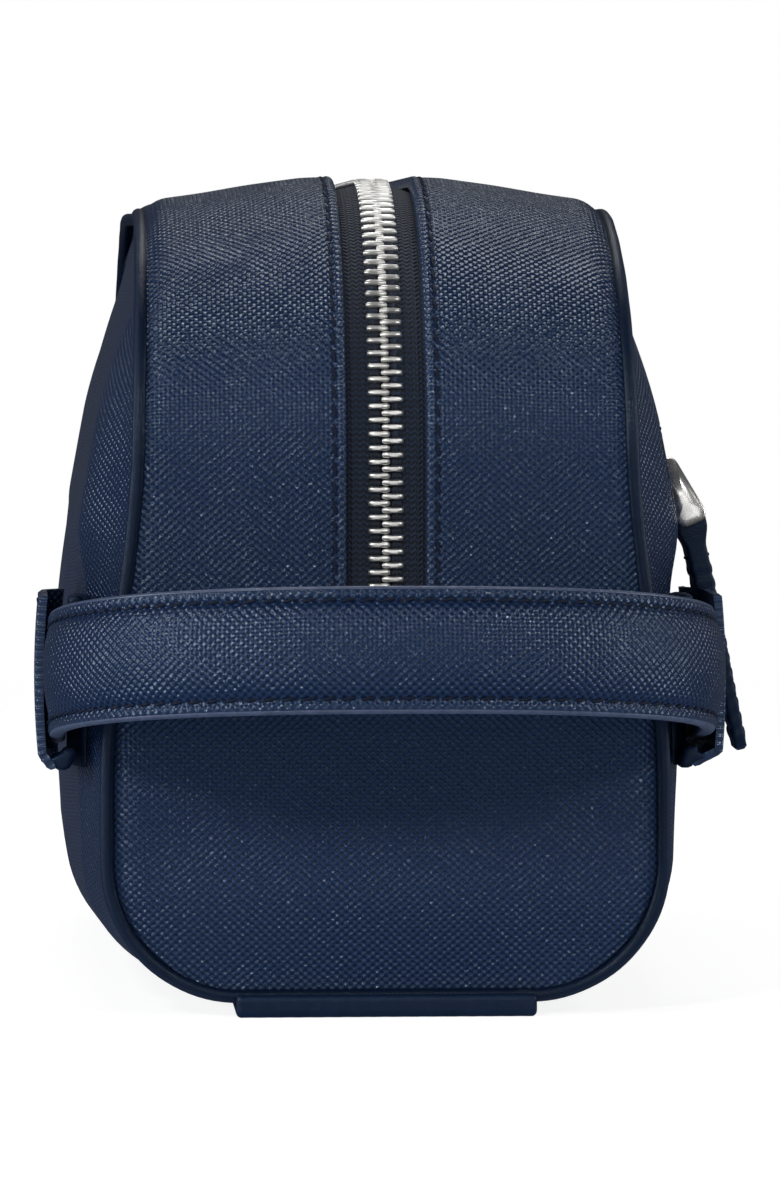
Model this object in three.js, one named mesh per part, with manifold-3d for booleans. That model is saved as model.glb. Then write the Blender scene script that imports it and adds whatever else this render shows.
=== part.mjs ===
// Leather wash bag: a padded box bag with a zip over the top, a zipped outside pocket and an end handle.
// Millimetres. +Z is up, the handle end faces -Y, the outside pocket faces +X.
// The origin is the centre of the flat underside of the base strip.

import * as THREE from 'three';
import { mergeVertices } from 'three/addons/utils/BufferGeometryUtils.js';
import Module from 'manifold-3d';

const wasm = await Module();
wasm.setup();

// ---- Driving dimensions ----

const CLEARANCE = 0.3;                // air between pieces that touch

// body, measured on the seam line that the piping follows
const BODY_HALF_LENGTH = 125;
const SEAM_BOTTOM_Z = 4.2;
const CORNER_RADIUS = 27;             // rounded lower corners of the end panels
const LOW_HALF_WIDTH = 56.4;          // end panel's half width above its corners
const LEAN_IN = 6.6;                  // how much narrower the end becomes towards mid height
const LEAN_FROM_Z = 45;
const LEAN_HEIGHT = 75;
const TOP_TAPER = 1.2;                // a little narrower again above the lean
const TOP_TAPER_HEIGHT = 40;
const SHOULDER_Z = 112;               // the end face is upright below this height
const SHOULDER_RUN = 62;              // quarter ellipse between end face and top, along Y
const SHOULDER_RISE = 50.5;           // and along Z, on the seam line
const TOP_HALF_LENGTH = BODY_HALF_LENGTH - SHOULDER_RUN;

// side panels bulge out between the ends
const BULGE = 11.4;
const BULGE_CENTRE_Z = 88;
const BULGE_TOP_REACH = 64;
const BULGE_LOW = 7.6;
const BULGE_LOW_Z = 20;
const BULGE_FALL_HIGH = 31;           // length over which the bulge dies away at each end: beside the zip
const BULGE_FALL_LOW = 50;            // and lower down, where the handle is
const FALL_FROM_Z = 80;
const FALL_HEIGHT = 22;

// band: end panels and top gussets, crowned towards the zip
const CROWN_END = 2.8;
const CROWN_TOP = 8.5;
const CROWN_EDGE_SHARE = 0.35;        // share of the crown gained in the rounded edge
const CROWN_EDGE_WIDTH = 0.14;
const END_SEAM_Z = 66;                // gussets meet the end panel here, behind the handle
const LIP_X = 8.15;                   // half width of the slot for the zip

const SIDE_THICKNESS = 1.8;
const BAND_THICKNESS = 2.6;
const PIPING_RADIUS = 1.5;
const CORD_RADIUS = 0.65;

// base
const STRIP_HALF_WIDTH = 30.5;
const STRIP_THICKNESS = 3.9;
const STRIP_END_Y = 128.7;
const STRIP_END_HEIGHT = 4.6;
const BOARD_THICKNESS = 1.2;
const BOARD_HALF_WIDTH = 28;
const BOARD_END_GAP = 8;

// zip
const CHAIN_HALF_WIDTH = 3.5;
const CHAIN_THICKNESS = 1;
const CHAIN_GAP = 0.3;
const TAPE_THICKNESS = 0.7;
const TAPE_DEPTH = 3.6;               // tape's outer face below the crown of the gusset
const TAPE_INNER_X = 0.5;
const TAPE_OUTER_X = 12;
const TAPE_END_Z = 62;
const STOP_Z = 69;
const STOP_LENGTH = 1.7;
const CHAIN_START_GAP = 2;

// outside pocket
const POCKET_ZIP_Z = 109.5;
const WINDOW_HALF_HEIGHT = 6.5;
const WINDOW_HALF_LENGTH = 96;
const WINDOW_CUT = 12;                // the cutting box reaches this far each side of the tape
const POCKET_TAPE_INSET = 3.4;
const POCKET_TAPE_HALF_LENGTH = 95;
const POCKET_TAPE_REACH = 7.8;        // from the middle of the chain to the tape's far edge
const POCKET_BOTTOM_Z = 45;
const POCKET_HALF_LENGTH = 84;
const POCKET_STOP_FROM_TAPE_END = 12;
const POCKET_CLOTH = 0.5;
const POCKET_STEP = 12;               // height of the facets on the pocket bag
const POCKET_FRONT_GAP = 1.5;         // cloth behind the front panel
const POCKET_BACK_GAP = 1.8;          // cloth behind the pocket's zip tape

// sliders and pulls
const SLIDER_LENGTH = 11;
const SLIDER_WIDTH = 10;
const SLIDER_PLATE = 0.7;
const SLIDER_CHAMFER = 0.6;
const BRIDGE_BAR = 1.2;
const BRIDGE_CHAMFER = 0.4;
const BRIDGE_INNER = 3.8;
const BRIDGE_RISE = 2.5;
const EYE_RADIUS = 2.2;
const EYE_HOLE_RADIUS = 1.15;
const EYE_WIDTH = 3;
const CLIP_LENGTH = 10.5;
const CLIP_BAR_RADIUS = 0.8;
const TAB_WIDTH = 11;
const TAB_LENGTH = 50.5;
const TAB_HALF_THICKNESS = 1.8;
const TAB_LOOP_RADIUS = 3.25;
const TAB_NECK = 7.8;                  // where the loop's two leaves meet, below the clip's bar
const TAB_LOOP_OVERLAP = 0.35;         // radians that the loop's arc runs past a half turn
const TAB_HOLE_RADIUS = 1.5;
const POCKET_SLIDER_Y = -76;
const POCKET_CLIP_TILT = 24;
const POCKET_TAB_TILT = 14;
const MAIN_SLIDER_Z = 76.5;
const MAIN_CLIP_TILT = 14.5;
const MAIN_TAB_TILT = 0;

// handle
const ANCHOR_Y = -97;
const ANCHOR_Z = 66.8;
const HANDLE_TILT = 8;
const HANDLE_WIDTH = 24;
const HANDLE_HALF_SPAN = 66.35;
const HANDLE_REAR = -9;
const HANDLE_STRAIGHT = 11;
const HANDLE_REACH = 70;
const HANDLE_ROUNDNESS = 2.4;         // exponent of the superellipse
const HANDLE_ARC_DIVISIONS = 12;
const STRAP_FACE = 1.85;              // handle's half thickness
const STRAP_CORE_HALF = 0.45;
const STRAP_CORE_WIDTH = 14;

// anchor patches
const PATCH_HALF_HEIGHT = 18;
const PATCH_FRONT_Y = -108;
const PATCH_CAP_REAR_Y = -82;
const PATCH_REAR_Y = -72;
const PATCH_OUTER_X = 71;
const PATCH_THICKNESS = 1.5;
const PATCH_FLANGE = 1.8;
const PATCH_DEPTH = 16;               // how far inwards the patch is drawn before the bag's side cuts it

const NAVY = 0x1c2a4a;
const NAVY_SMOOTH = 0x1a2540;
const NAVY_TAPE = 0x141d33;
const LINING_BLUE = 0x24304d;
const STEEL = 0xd8d8d6;
const BOARD_GREY = 0x5b5b58;
const FOAM_GREY = 0x8a8a86;

// ---- Small helpers ----

const WELD_DISTANCE = 1e-4;
const radians = THREE.MathUtils.degToRad;

function smooth(t) {
  const s = THREE.MathUtils.clamp(t, 0, 1);
  return s * s * (3 - 2 * s);
}

function steps(from, to, count) {
  return Array.from({ length: count + 1 }, (_, i) => from + (to - from) * i / count);
}

function leather(name, geometry, color = NAVY, roughness = 0.45) {
  return finish(name, geometry, new THREE.MeshStandardMaterial({ color, roughness, metalness: 0 }));
}

function metal(name, geometry) {
  const material = new THREE.MeshStandardMaterial({ color: STEEL, roughness: 0.2, metalness: 1 });
  return finish(name, geometry, material);
}

function finish(name, geometry, material) {
  const mesh = new THREE.Mesh(geometry, material);
  mesh.name = name;
  return mesh;
}

// A closed slab between two grids of points of the same size.
function slab(outer, inner) {
  const rows = outer.length;
  const columns = outer[0].length;
  const positions = [...outer, ...inner].flat(2);
  const at = (layer, r, c) => (layer * rows + r) * columns + c;
  const faces = [];
  const quad = (a, b, c, d) => faces.push(a, b, c, a, c, d);
  for (let r = 0; r < rows - 1; r += 1) {
    for (let c = 0; c < columns - 1; c += 1) {
      quad(at(0, r, c), at(0, r, c + 1), at(0, r + 1, c + 1), at(0, r + 1, c));
      quad(at(1, r, c), at(1, r + 1, c), at(1, r + 1, c + 1), at(1, r, c + 1));
    }
  }
  for (let r = 0; r < rows - 1; r += 1) {
    quad(at(0, r, 0), at(0, r + 1, 0), at(1, r + 1, 0), at(1, r, 0));
    quad(at(0, r + 1, columns - 1), at(0, r, columns - 1), at(1, r, columns - 1), at(1, r + 1, columns - 1));
  }
  for (let c = 0; c < columns - 1; c += 1) {
    quad(at(0, 0, c + 1), at(0, 0, c), at(1, 0, c), at(1, 0, c + 1));
    quad(at(0, rows - 1, c), at(0, rows - 1, c + 1), at(1, rows - 1, c + 1), at(1, rows - 1, c));
  }
  const geometry = new THREE.BufferGeometry();
  geometry.setAttribute('position', new THREE.Float32BufferAttribute(positions, 3));
  geometry.setIndex(faces);
  return facingOut(geometry);
}

// A closed ring swept round a loop: sections[i] is the outline at station i.
function ring(sections) {
  const around = sections[0].length;
  const positions = sections.flat(2);
  const faces = [];
  sections.forEach((_, i) => {
    const next = (i + 1) % sections.length;
    for (let k = 0; k < around; k += 1) {
      const k2 = (k + 1) % around;
      const a = i * around + k;
      const b = i * around + k2;
      const c = next * around + k2;
      const d = next * around + k;
      faces.push(a, b, c, a, c, d);
    }
  });
  const geometry = new THREE.BufferGeometry();
  geometry.setAttribute('position', new THREE.Float32BufferAttribute(positions, 3));
  geometry.setIndex(faces);
  return facingOut(geometry);
}

function facingOut(geometry) {
  const p = geometry.attributes.position;
  const index = geometry.index.array;
  const a = new THREE.Vector3();
  const b = new THREE.Vector3();
  const c = new THREE.Vector3();
  let volume = 0;
  for (let i = 0; i < index.length; i += 3) {
    a.fromBufferAttribute(p, index[i]);
    b.fromBufferAttribute(p, index[i + 1]);
    c.fromBufferAttribute(p, index[i + 2]);
    volume += a.dot(b.cross(c));
  }
  if (volume < 0) {
    for (let i = 0; i < index.length; i += 3) {
      [index[i + 1], index[i + 2]] = [index[i + 2], index[i + 1]];
    }
  }
  return geometry;
}

function mirrored(geometry) {
  const copy = geometry.clone().scale(-1, 1, 1);
  return facingOut(copy);
}

function box(low, high) {
  const size = high.map((h, i) => h - low[i]);
  const centre = high.map((h, i) => (h + low[i]) / 2);
  return new THREE.BoxGeometry(...size).translate(...centre);
}

// Positions and faces only, with corners at one place joined.
function welded(geometry) {
  const plain = new THREE.BufferGeometry();
  plain.setAttribute('position', geometry.attributes.position.clone());
  if (geometry.index) plain.setIndex(geometry.index.clone());
  return mergeVertices(plain, WELD_DISTANCE);
}

function toSolid(geometry) {
  const merged = welded(geometry);
  return new wasm.Manifold(new wasm.Mesh({
    numProp: 3,
    vertProperties: new Float32Array(merged.attributes.position.array),
    triVerts: new Uint32Array(merged.index.array),
  }));
}

function fromSolid(solid) {
  const mesh = solid.getMesh();
  const geometry = new THREE.BufferGeometry();
  geometry.setAttribute('position', new THREE.Float32BufferAttribute(mesh.vertProperties, 3));
  geometry.setIndex(Array.from(mesh.triVerts));
  return geometry;
}

// Extrudes an outline drawn in XZ along Y, from low to high.
function extrudeAlongY(shape, low, high, curveSegments = 8) {
  const geometry = new THREE.ExtrudeGeometry(shape, {
    depth: high - low,
    bevelEnabled: false,
    curveSegments,
  });
  return geometry.rotateX(Math.PI / 2).translate(0, high, 0);
}

// ---- Body surface ----

// Half width of the end outline on the seam line.
function seamHalfWidth(z) {
  const lean = LEAN_IN * smooth((z - LEAN_FROM_Z) / LEAN_HEIGHT);
  const aboveLean = (z - LEAN_FROM_Z - LEAN_HEIGHT) / TOP_TAPER_HEIGHT;
  const taper = TOP_TAPER * THREE.MathUtils.clamp(aboveLean, 0, 1);
  return LOW_HALF_WIDTH - lean - taper;
}

// How far the seam line reaches from mid length at height z.
function seamReach(z) {
  const up = THREE.MathUtils.clamp((z - SHOULDER_Z) / SHOULDER_RISE, 0, 1);
  return TOP_HALF_LENGTH + SHOULDER_RUN * Math.sqrt(1 - up * up);
}

function bulge(z) {
  if (z > BULGE_CENTRE_Z) {
    return BULGE * (1 - ((z - BULGE_CENTRE_Z) / BULGE_TOP_REACH) ** 2);
  }
  const rise = smooth((z - BULGE_LOW_Z) / (BULGE_CENTRE_Z - BULGE_LOW_Z));
  return BULGE_LOW + (BULGE - BULGE_LOW) * rise;
}

function halfWidth(y, z) {
  const inside = Math.max(0, seamReach(z) - Math.abs(y));
  const high = smooth((z - FALL_FROM_Z) / FALL_HEIGHT);
  const fall = BULGE_FALL_LOW + (BULGE_FALL_HIGH - BULGE_FALL_LOW) * high;
  return seamHalfWidth(z) + bulge(z) * smooth(inside / fall);
}

// Stops along the end-top-end profile. An end face has angle 0, the top 90 degrees.
const SHOULDER_ANGLES = [0, 14, 26, 37, 47.5, 57.8, 68, 79, 90];
const TOP_DIVISIONS = 3;
const END_DIVISIONS = 3;

function profileStops(endZ) {
  const near = steps(endZ, SHOULDER_Z, END_DIVISIONS).slice(0, -1)
    .map((z) => ({ side: -1, angle: 0, along: -TOP_HALF_LENGTH, below: SHOULDER_Z - z }));
  const shoulder = SHOULDER_ANGLES
    .map((angle) => ({ side: -1, angle, along: -TOP_HALF_LENGTH, below: 0 }));
  const half = [...near, ...shoulder];
  const far = half.map((stop) => ({ ...stop, side: 1, along: -stop.along })).reverse();
  const top = steps(-TOP_HALF_LENGTH, TOP_HALF_LENGTH, TOP_DIVISIONS).slice(1, -1)
    .map((along) => ({ side: 1, angle: 90, along, below: 0 }));
  return [...half, ...top, ...far];
}

function profilePoint(stop, run, rise) {
  const angle = radians(stop.angle);
  const y = stop.along + stop.side * run * Math.cos(angle);
  const z = SHOULDER_Z - stop.below + rise * Math.sin(angle);
  return [y, z];
}

// Side panel, from the middle of the bottom round the corner and up to the top seam.
const SEAM_ALLOWANCE = 0.4;
const SEAM_BACK = PIPING_RADIUS + SEAM_ALLOWANCE;  // panels stop this far inside the seam line
const CORNER_DIVISIONS = 6;
const SIDE_DIVISIONS = 8;

function sidePoint(y, topZ, row, inset) {
  const centreX = halfWidth(y, SEAM_BOTTOM_Z + CORNER_RADIUS) - CORNER_RADIUS;
  const centreZ = SEAM_BOTTOM_Z + CORNER_RADIUS;
  if (row === 0) {
    return [CLEARANCE / 2, y, SEAM_BOTTOM_Z + inset];
  }
  if (row <= CORNER_DIVISIONS + 1) {
    const angle = (row - 1) / CORNER_DIVISIONS * Math.PI / 2;
    const radius = CORNER_RADIUS - inset;
    return [centreX + radius * Math.sin(angle), y, centreZ - radius * Math.cos(angle)];
  }
  const z = centreZ + (topZ - centreZ) * (row - CORNER_DIVISIONS - 1) / SIDE_DIVISIONS;
  return [halfWidth(y, z) - inset, y, z];
}

function sideGrid(inset, back, lowest = 0) {
  const rows = CORNER_DIVISIONS + SIDE_DIVISIONS + 2;
  const shoulderStops = profileStops(SHOULDER_Z).filter((stop) => stop.below === 0);
  return shoulderStops.map((stop) => {
    const [y, topZ] = profilePoint(stop, SHOULDER_RUN - back, SHOULDER_RISE - back);
    return Array.from({ length: rows - lowest }, (_, i) => sidePoint(y, topZ, i + lowest, inset));
  });
}

function sidePanel() {
  return slab(sideGrid(0, SEAM_BACK), sideGrid(SIDE_THICKNESS, SEAM_BACK));
}

// Band surface at a share u of the way from the seam (0) to the zip lip (1).
function crownShare(u) {
  const edge = 1 - Math.min(1, u / CROWN_EDGE_WIDTH);
  return CROWN_EDGE_SHARE * (1 - edge * edge) + (1 - CROWN_EDGE_SHARE) * u;
}

function bandPoint(stop, x, inset) {
  const [seamY, seamZ] = profilePoint(stop, SHOULDER_RUN, SHOULDER_RISE);
  const seamX = halfWidth(seamY, seamZ);
  const share = crownShare((seamX - x) / (seamX - LIP_X));
  const run = SHOULDER_RUN + CROWN_END * share - inset;
  const rise = SHOULDER_RISE + CROWN_TOP * share - inset;
  return [x, ...profilePoint(stop, run, rise)];
}

const GUSSET_SHARES = [0.045, 0.1, 0.2, 0.55, 1];

function gussetGrid(inset) {
  return profileStops(END_SEAM_Z + CLEARANCE).map((stop) => {
    const [seamY, seamZ] = profilePoint(stop, SHOULDER_RUN, SHOULDER_RISE);
    const seamX = halfWidth(seamY, seamZ);
    return GUSSET_SHARES.map((share) => bandPoint(stop, seamX - (seamX - LIP_X) * share, inset));
  });
}

// End panel: rounded lower corners, a slight crown in both directions.
function outlineHalfWidth(z) {
  const below = SEAM_BOTTOM_Z + CORNER_RADIUS - z;
  if (below <= 0) return seamHalfWidth(z);
  const centreX = seamHalfWidth(SEAM_BOTTOM_Z + CORNER_RADIUS) - CORNER_RADIUS;
  return centreX + Math.sqrt(Math.max(0, CORNER_RADIUS ** 2 - below ** 2));
}

const PANEL_MARGIN = SEAM_BACK + CLEARANCE;
const CROWN_FOOT_SHARE = 0.8;
const CROWN_FOOT = CORNER_RADIUS * CROWN_FOOT_SHARE;  // flat at the lowest edge, crowned above this
const PANEL_COLUMNS = 8;
const PANEL_STRAIGHT_ROWS = 3;
const CROWN_ACROSS_POWER = 1.5;           // how squarely the crown fills the panel's width

function endPanelGrid(inset, margin) {
  const cornerTop = SEAM_BOTTOM_Z + CORNER_RADIUS;
  const radius = CORNER_RADIUS - margin;
  const corner = steps(0, 90, CORNER_DIVISIONS)
    .map((angle) => ({
      z: cornerTop - radius * Math.cos(radians(angle)),
      x: LOW_HALF_WIDTH - CORNER_RADIUS + radius * Math.sin(radians(angle)),
    }));
  const straight = steps(cornerTop, END_SEAM_Z - CLEARANCE, PANEL_STRAIGHT_ROWS).slice(1)
    .map((z) => ({ z, x: outlineHalfWidth(z) - margin }));
  return [...corner, ...straight].map(({ z, x }) => {
    const upward = smooth((z - SEAM_BOTTOM_Z) / CROWN_FOOT);
    return steps(-1, 1, PANEL_COLUMNS).map((across) => {
      const share = crownShare(1 - Math.abs(across) ** CROWN_ACROSS_POWER) * upward;
      return [x * across, -(BODY_HALF_LENGTH + CROWN_END * share - inset), z];
    });
  });
}

function endPanel() {
  return slab(endPanelGrid(0, PANEL_MARGIN), endPanelGrid(BAND_THICKNESS, PANEL_MARGIN));
}

// ---- Piping ----

const SEAM_SIDE_DIVISIONS = 5;

// The seam loop: near-end U, over the shoulder, along the top edge, far-end U and back.
function seamQuarter() {
  const cornerZ = SEAM_BOTTOM_Z + CORNER_RADIUS;
  const centreX = LOW_HALF_WIDTH - CORNER_RADIUS;
  const corner = steps(0, 90, CORNER_DIVISIONS).map((angle) => new THREE.Vector3(
    centreX + CORNER_RADIUS * Math.sin(radians(angle)),
    -BODY_HALF_LENGTH,
    cornerZ - CORNER_RADIUS * Math.cos(radians(angle)),
  ));
  const side = steps(cornerZ, SHOULDER_Z, SEAM_SIDE_DIVISIONS).slice(1, -1)
    .map((z) => new THREE.Vector3(seamHalfWidth(z), -BODY_HALF_LENGTH, z));
  const shoulder = SHOULDER_ANGLES.map((angle) => {
    const stop = { side: -1, angle, along: -TOP_HALF_LENGTH, below: 0 };
    const [y, z] = profilePoint(stop, SHOULDER_RUN, SHOULDER_RISE);
    return new THREE.Vector3(halfWidth(y, z), y, z);
  });
  const top = steps(-TOP_HALF_LENGTH, TOP_HALF_LENGTH, TOP_DIVISIONS).slice(1, 2)
    .map((y) => new THREE.Vector3(halfWidth(y, SHOULDER_Z + SHOULDER_RISE), y, SHOULDER_Z + SHOULDER_RISE));
  return [...corner, ...side, ...shoulder, ...top];
}

function seamLoop() {
  const nearRight = seamQuarter();
  const farRight = nearRight.map((p) => new THREE.Vector3(p.x, -p.y, p.z)).reverse();
  const right = [...nearRight, ...farRight];
  const left = right.map((p) => new THREE.Vector3(-p.x, p.y, p.z)).reverse();
  return [...right, ...left];
}

// Outlines round the seam loop; each outline point is [outward, along the cross direction].
function pipingSections(outline) {
  const loop = seamLoop();
  return loop.map((point, i) => {
    const before = loop[(i + loop.length - 1) % loop.length];
    const after = loop[(i + 1) % loop.length];
    const along = after.clone().sub(before).normalize();
    const outward = seamOutward(point);
    outward.addScaledVector(along, -outward.dot(along)).normalize();
    const cross = along.clone().cross(outward);
    return outline.map(([u, v]) => point.clone()
      .addScaledVector(outward, u)
      .addScaledVector(cross, v)
      .toArray());
  });
}

// Away from the body: half way between the side panel's and the band's outward directions.
function seamOutward(point) {
  const sideways = new THREE.Vector3(Math.sign(point.x), 0, 0);
  const cornerZ = SEAM_BOTTOM_Z + CORNER_RADIUS;
  const centreX = LOW_HALF_WIDTH - CORNER_RADIUS;
  if (point.z < cornerZ) {
    sideways.set(Math.sign(point.x) * (Math.abs(point.x) - centreX), 0, point.z - cornerZ).normalize();
  }
  const endwards = new THREE.Vector3(0, Math.sign(point.y), 0);
  if (point.z > SHOULDER_Z) {
    const beyond = Math.max(0, Math.abs(point.y) - TOP_HALF_LENGTH);
    endwards.set(
      0,
      Math.sign(point.y) * beyond / SHOULDER_RUN ** 2,
      (point.z - SHOULDER_Z) / SHOULDER_RISE ** 2,
    ).normalize();
  }
  return sideways.add(endwards).normalize();
}

function arcOutline(radius, from, to, count) {
  return steps(from, to, count).map((angle) => [
    radius * Math.cos(radians(angle)),
    radius * Math.sin(radians(angle)),
  ]);
}

const PIPING_OPEN_ANGLE = 150;          // the cover is wrapped this far round each side of the cord
const PIPING_EDGE_ANGLE = 10;           // its inner face stops this much sooner
const PIPING_OUTER_DIVISIONS = 6;
const PIPING_INNER_DIVISIONS = 5;
const CORD_LAST_ANGLE = 300;            // a hexagon's last corner

function pipingCover() {
  const outer = arcOutline(PIPING_RADIUS, -PIPING_OPEN_ANGLE, PIPING_OPEN_ANGLE, PIPING_OUTER_DIVISIONS);
  const innerAngle = PIPING_OPEN_ANGLE - PIPING_EDGE_ANGLE;
  const inner = arcOutline(CORD_RADIUS + CLEARANCE, -innerAngle, innerAngle, PIPING_INNER_DIVISIONS)
    .reverse();
  return ring(pipingSections([...outer, ...inner]));
}

function pipingCord() {
  return ring(pipingSections(arcOutline(CORD_RADIUS, 0, CORD_LAST_ANGLE, PIPING_INNER_DIVISIONS)));
}

// ---- Linings ----

const LINING_THICKNESS = 0.6;
const LINING_INSET_LEFT = 3.4;
const LINING_INSET_RIGHT = 7.4;
const LINING_BOTTOM_RISE = 4.6;
const LINING_AIR = 5;
const LINING_TOP_BACK = BAND_THICKNESS + LINING_AIR;
const LINING_TOP_DROP = 4;
const LINING_END_GAP = 8;
const LINING_CORNER_ANGLE = 67.5;
const LINING_STATIONS = 10;
const LINING_SIDE_ROWS = 5;
const LINING_CORNER_ROWS = 3;

function liningGrid(inset) {
  const bottomZ = SEAM_BOTTOM_Z + LINING_BOTTOM_RISE + inset - LINING_INSET_LEFT;
  return steps(-1, 1, LINING_STATIONS).map((share) => {
    const y = share * (BODY_HALF_LENGTH - LINING_END_GAP);
    const beyond = Math.max(0, Math.abs(y) - TOP_HALF_LENGTH) / (SHOULDER_RUN - LINING_TOP_BACK);
    const rise = (SHOULDER_RISE - LINING_TOP_BACK) * Math.sqrt(Math.max(0, 1 - beyond ** 2));
    const topZ = SHOULDER_Z + rise - LINING_TOP_DROP;
    const side = steps(0, 1, LINING_SIDE_ROWS).map((up) => {
      const z = SEAM_BOTTOM_Z + CORNER_RADIUS + (topZ - SEAM_BOTTOM_Z - CORNER_RADIUS) * up;
      return [halfWidth(y, z) - inset, y, z];
    });
    const foot = halfWidth(y, SEAM_BOTTOM_Z + CORNER_RADIUS) - inset;
    const radius = SEAM_BOTTOM_Z + CORNER_RADIUS - bottomZ;
    const corner = steps(0, LINING_CORNER_ANGLE, LINING_CORNER_ROWS).map((angle) => [
      foot - radius + radius * Math.sin(radians(angle)),
      y,
      bottomZ + radius - radius * Math.cos(radians(angle)),
    ]);
    return [[CLEARANCE / 2, y, bottomZ], ...corner, ...side];
  });
}

function bodyLining(inset) {
  return slab(liningGrid(inset), liningGrid(inset + LINING_THICKNESS));
}

const END_LINING_INSET = 5.2;
const END_LINING_MARGIN = 11;
const GUSSET_LINING_LIFT = 4;
const GUSSET_LINING_ZIP_GAP = 1;

function endLining() {
  const grid = (extra) => endPanelGrid(END_LINING_INSET + extra, END_LINING_MARGIN);
  return slab(grid(0), grid(LINING_THICKNESS));
}

function gussetLining() {
  const grid = (extra) => profileStops(END_SEAM_Z + GUSSET_LINING_LIFT).map((stop) => {
    const [seamY, seamZ] = profilePoint(stop, SHOULDER_RUN, SHOULDER_RISE);
    const reach = halfWidth(seamY, seamZ) - END_LINING_MARGIN;
    const besideZip = TAPE_OUTER_X + GUSSET_LINING_ZIP_GAP;
    return [reach, besideZip].map((x) => bandPoint(stop, x, END_LINING_INSET + extra));
  });
  return slab(grid(0), grid(LINING_THICKNESS));
}

// ---- Main zip ----

const TAPE_RUN = SHOULDER_RUN + CROWN_END - TAPE_DEPTH;
const TAPE_RISE = SHOULDER_RISE + CROWN_TOP - TAPE_DEPTH;
const CHAIN_LIFT = CLEARANCE + CHAIN_THICKNESS;

function zipStrip(innerX, outerX, endZ, lift, thickness) {
  const layer = (raise) => profileStops(endZ).map((stop) => {
    const [y, z] = profilePoint(stop, TAPE_RUN + raise, TAPE_RISE + raise);
    return [[outerX, y, z], [innerX, y, z]];
  });
  return slab(layer(lift), layer(lift - thickness));
}

function mainTape() {
  return zipStrip(TAPE_INNER_X, TAPE_OUTER_X, TAPE_END_Z, 0, TAPE_THICKNESS);
}

function mainTeeth() {
  return zipStrip(CHAIN_GAP / 2, CHAIN_HALF_WIDTH, STOP_Z + CHAIN_START_GAP, CHAIN_LIFT, CHAIN_THICKNESS);
}

const TAPE_FACE_Y = TOP_HALF_LENGTH + TAPE_RUN;

function zipStop(side) {
  const low = side * (TAPE_FACE_Y + CLEARANCE);
  const high = side * (TAPE_FACE_Y + CHAIN_LIFT);
  return box(
    [-CHAIN_HALF_WIDTH, Math.min(low, high), STOP_Z],
    [CHAIN_HALF_WIDTH, Math.max(low, high), STOP_Z + STOP_LENGTH],
  );
}

// ---- Pocket zip ----

function pocketOutline(insetOuter, insetInner, fromZ, toZ) {
  const shape = new THREE.Shape();
  const heights = steps(fromZ, toZ, Math.max(1, Math.ceil((toZ - fromZ) / POCKET_STEP)));
  heights.forEach((z, i) => {
    const x = halfWidth(0, z) - insetOuter;
    if (i === 0) shape.moveTo(x, z);
    else shape.lineTo(x, z);
  });
  heights.reverse().forEach((z) => shape.lineTo(halfWidth(0, z) - insetInner, z));
  shape.closePath();
  return shape;
}

// The pocket zip lies in one flat plane, so that its slider runs straight.
const POCKET_TAPE_X = halfWidth(0, POCKET_ZIP_Z) - POCKET_TAPE_INSET;

function pocketTape(direction) {
  const inner = POCKET_ZIP_Z + direction * TAPE_INNER_X;
  const outer = POCKET_ZIP_Z + direction * POCKET_TAPE_REACH;
  return box(
    [POCKET_TAPE_X - TAPE_THICKNESS, -POCKET_TAPE_HALF_LENGTH, Math.min(inner, outer)],
    [POCKET_TAPE_X, POCKET_TAPE_HALF_LENGTH, Math.max(inner, outer)],
  );
}

const POCKET_STOP_Y = POCKET_TAPE_HALF_LENGTH - POCKET_STOP_FROM_TAPE_END;

function pocketTeeth(direction) {
  const inner = POCKET_ZIP_Z + direction * CHAIN_GAP / 2;
  const outer = POCKET_ZIP_Z + direction * CHAIN_HALF_WIDTH;
  return box(
    [POCKET_TAPE_X + CLEARANCE, -POCKET_STOP_Y, Math.min(inner, outer)],
    [POCKET_TAPE_X + CHAIN_LIFT, POCKET_STOP_Y, Math.max(inner, outer)],
  );
}

function pocketStop(side) {
  const near = side * (POCKET_STOP_Y + CLEARANCE);
  const away = side * (POCKET_STOP_Y + CLEARANCE + STOP_LENGTH);
  return box(
    [POCKET_TAPE_X + CLEARANCE, Math.min(near, away), POCKET_ZIP_Z - CHAIN_HALF_WIDTH],
    [POCKET_TAPE_X + CHAIN_LIFT, Math.max(near, away), POCKET_ZIP_Z + CHAIN_HALF_WIDTH],
  );
}

// Pocket bag: one cloth folded at the bottom, its front hung from the lower tape.
function pocketBag() {
  const frontInset = SIDE_THICKNESS + POCKET_FRONT_GAP;
  const backInset = POCKET_TAPE_INSET + TAPE_THICKNESS + POCKET_BACK_GAP;
  const frontTop = POCKET_ZIP_Z - POCKET_TAPE_REACH - CLEARANCE;
  const backTop = POCKET_ZIP_Z + POCKET_TAPE_REACH;
  const front = extrudeAlongY(
    pocketOutline(frontInset, frontInset + POCKET_CLOTH, POCKET_BOTTOM_Z, frontTop),
    -POCKET_HALF_LENGTH,
    POCKET_HALF_LENGTH,
  );
  const back = extrudeAlongY(
    pocketOutline(backInset, backInset + POCKET_CLOTH, POCKET_BOTTOM_Z, backTop),
    -POCKET_HALF_LENGTH,
    POCKET_HALF_LENGTH,
  );
  const fold = extrudeAlongY(
    pocketOutline(
      frontInset,
      backInset + POCKET_CLOTH,
      POCKET_BOTTOM_Z - POCKET_CLOTH,
      POCKET_BOTTOM_Z + POCKET_CLOTH,
    ),
    -POCKET_HALF_LENGTH,
    POCKET_HALF_LENGTH,
  );
  return fromSolid(toSolid(front).add(toSolid(back)).add(toSolid(fold)));
}

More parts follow.
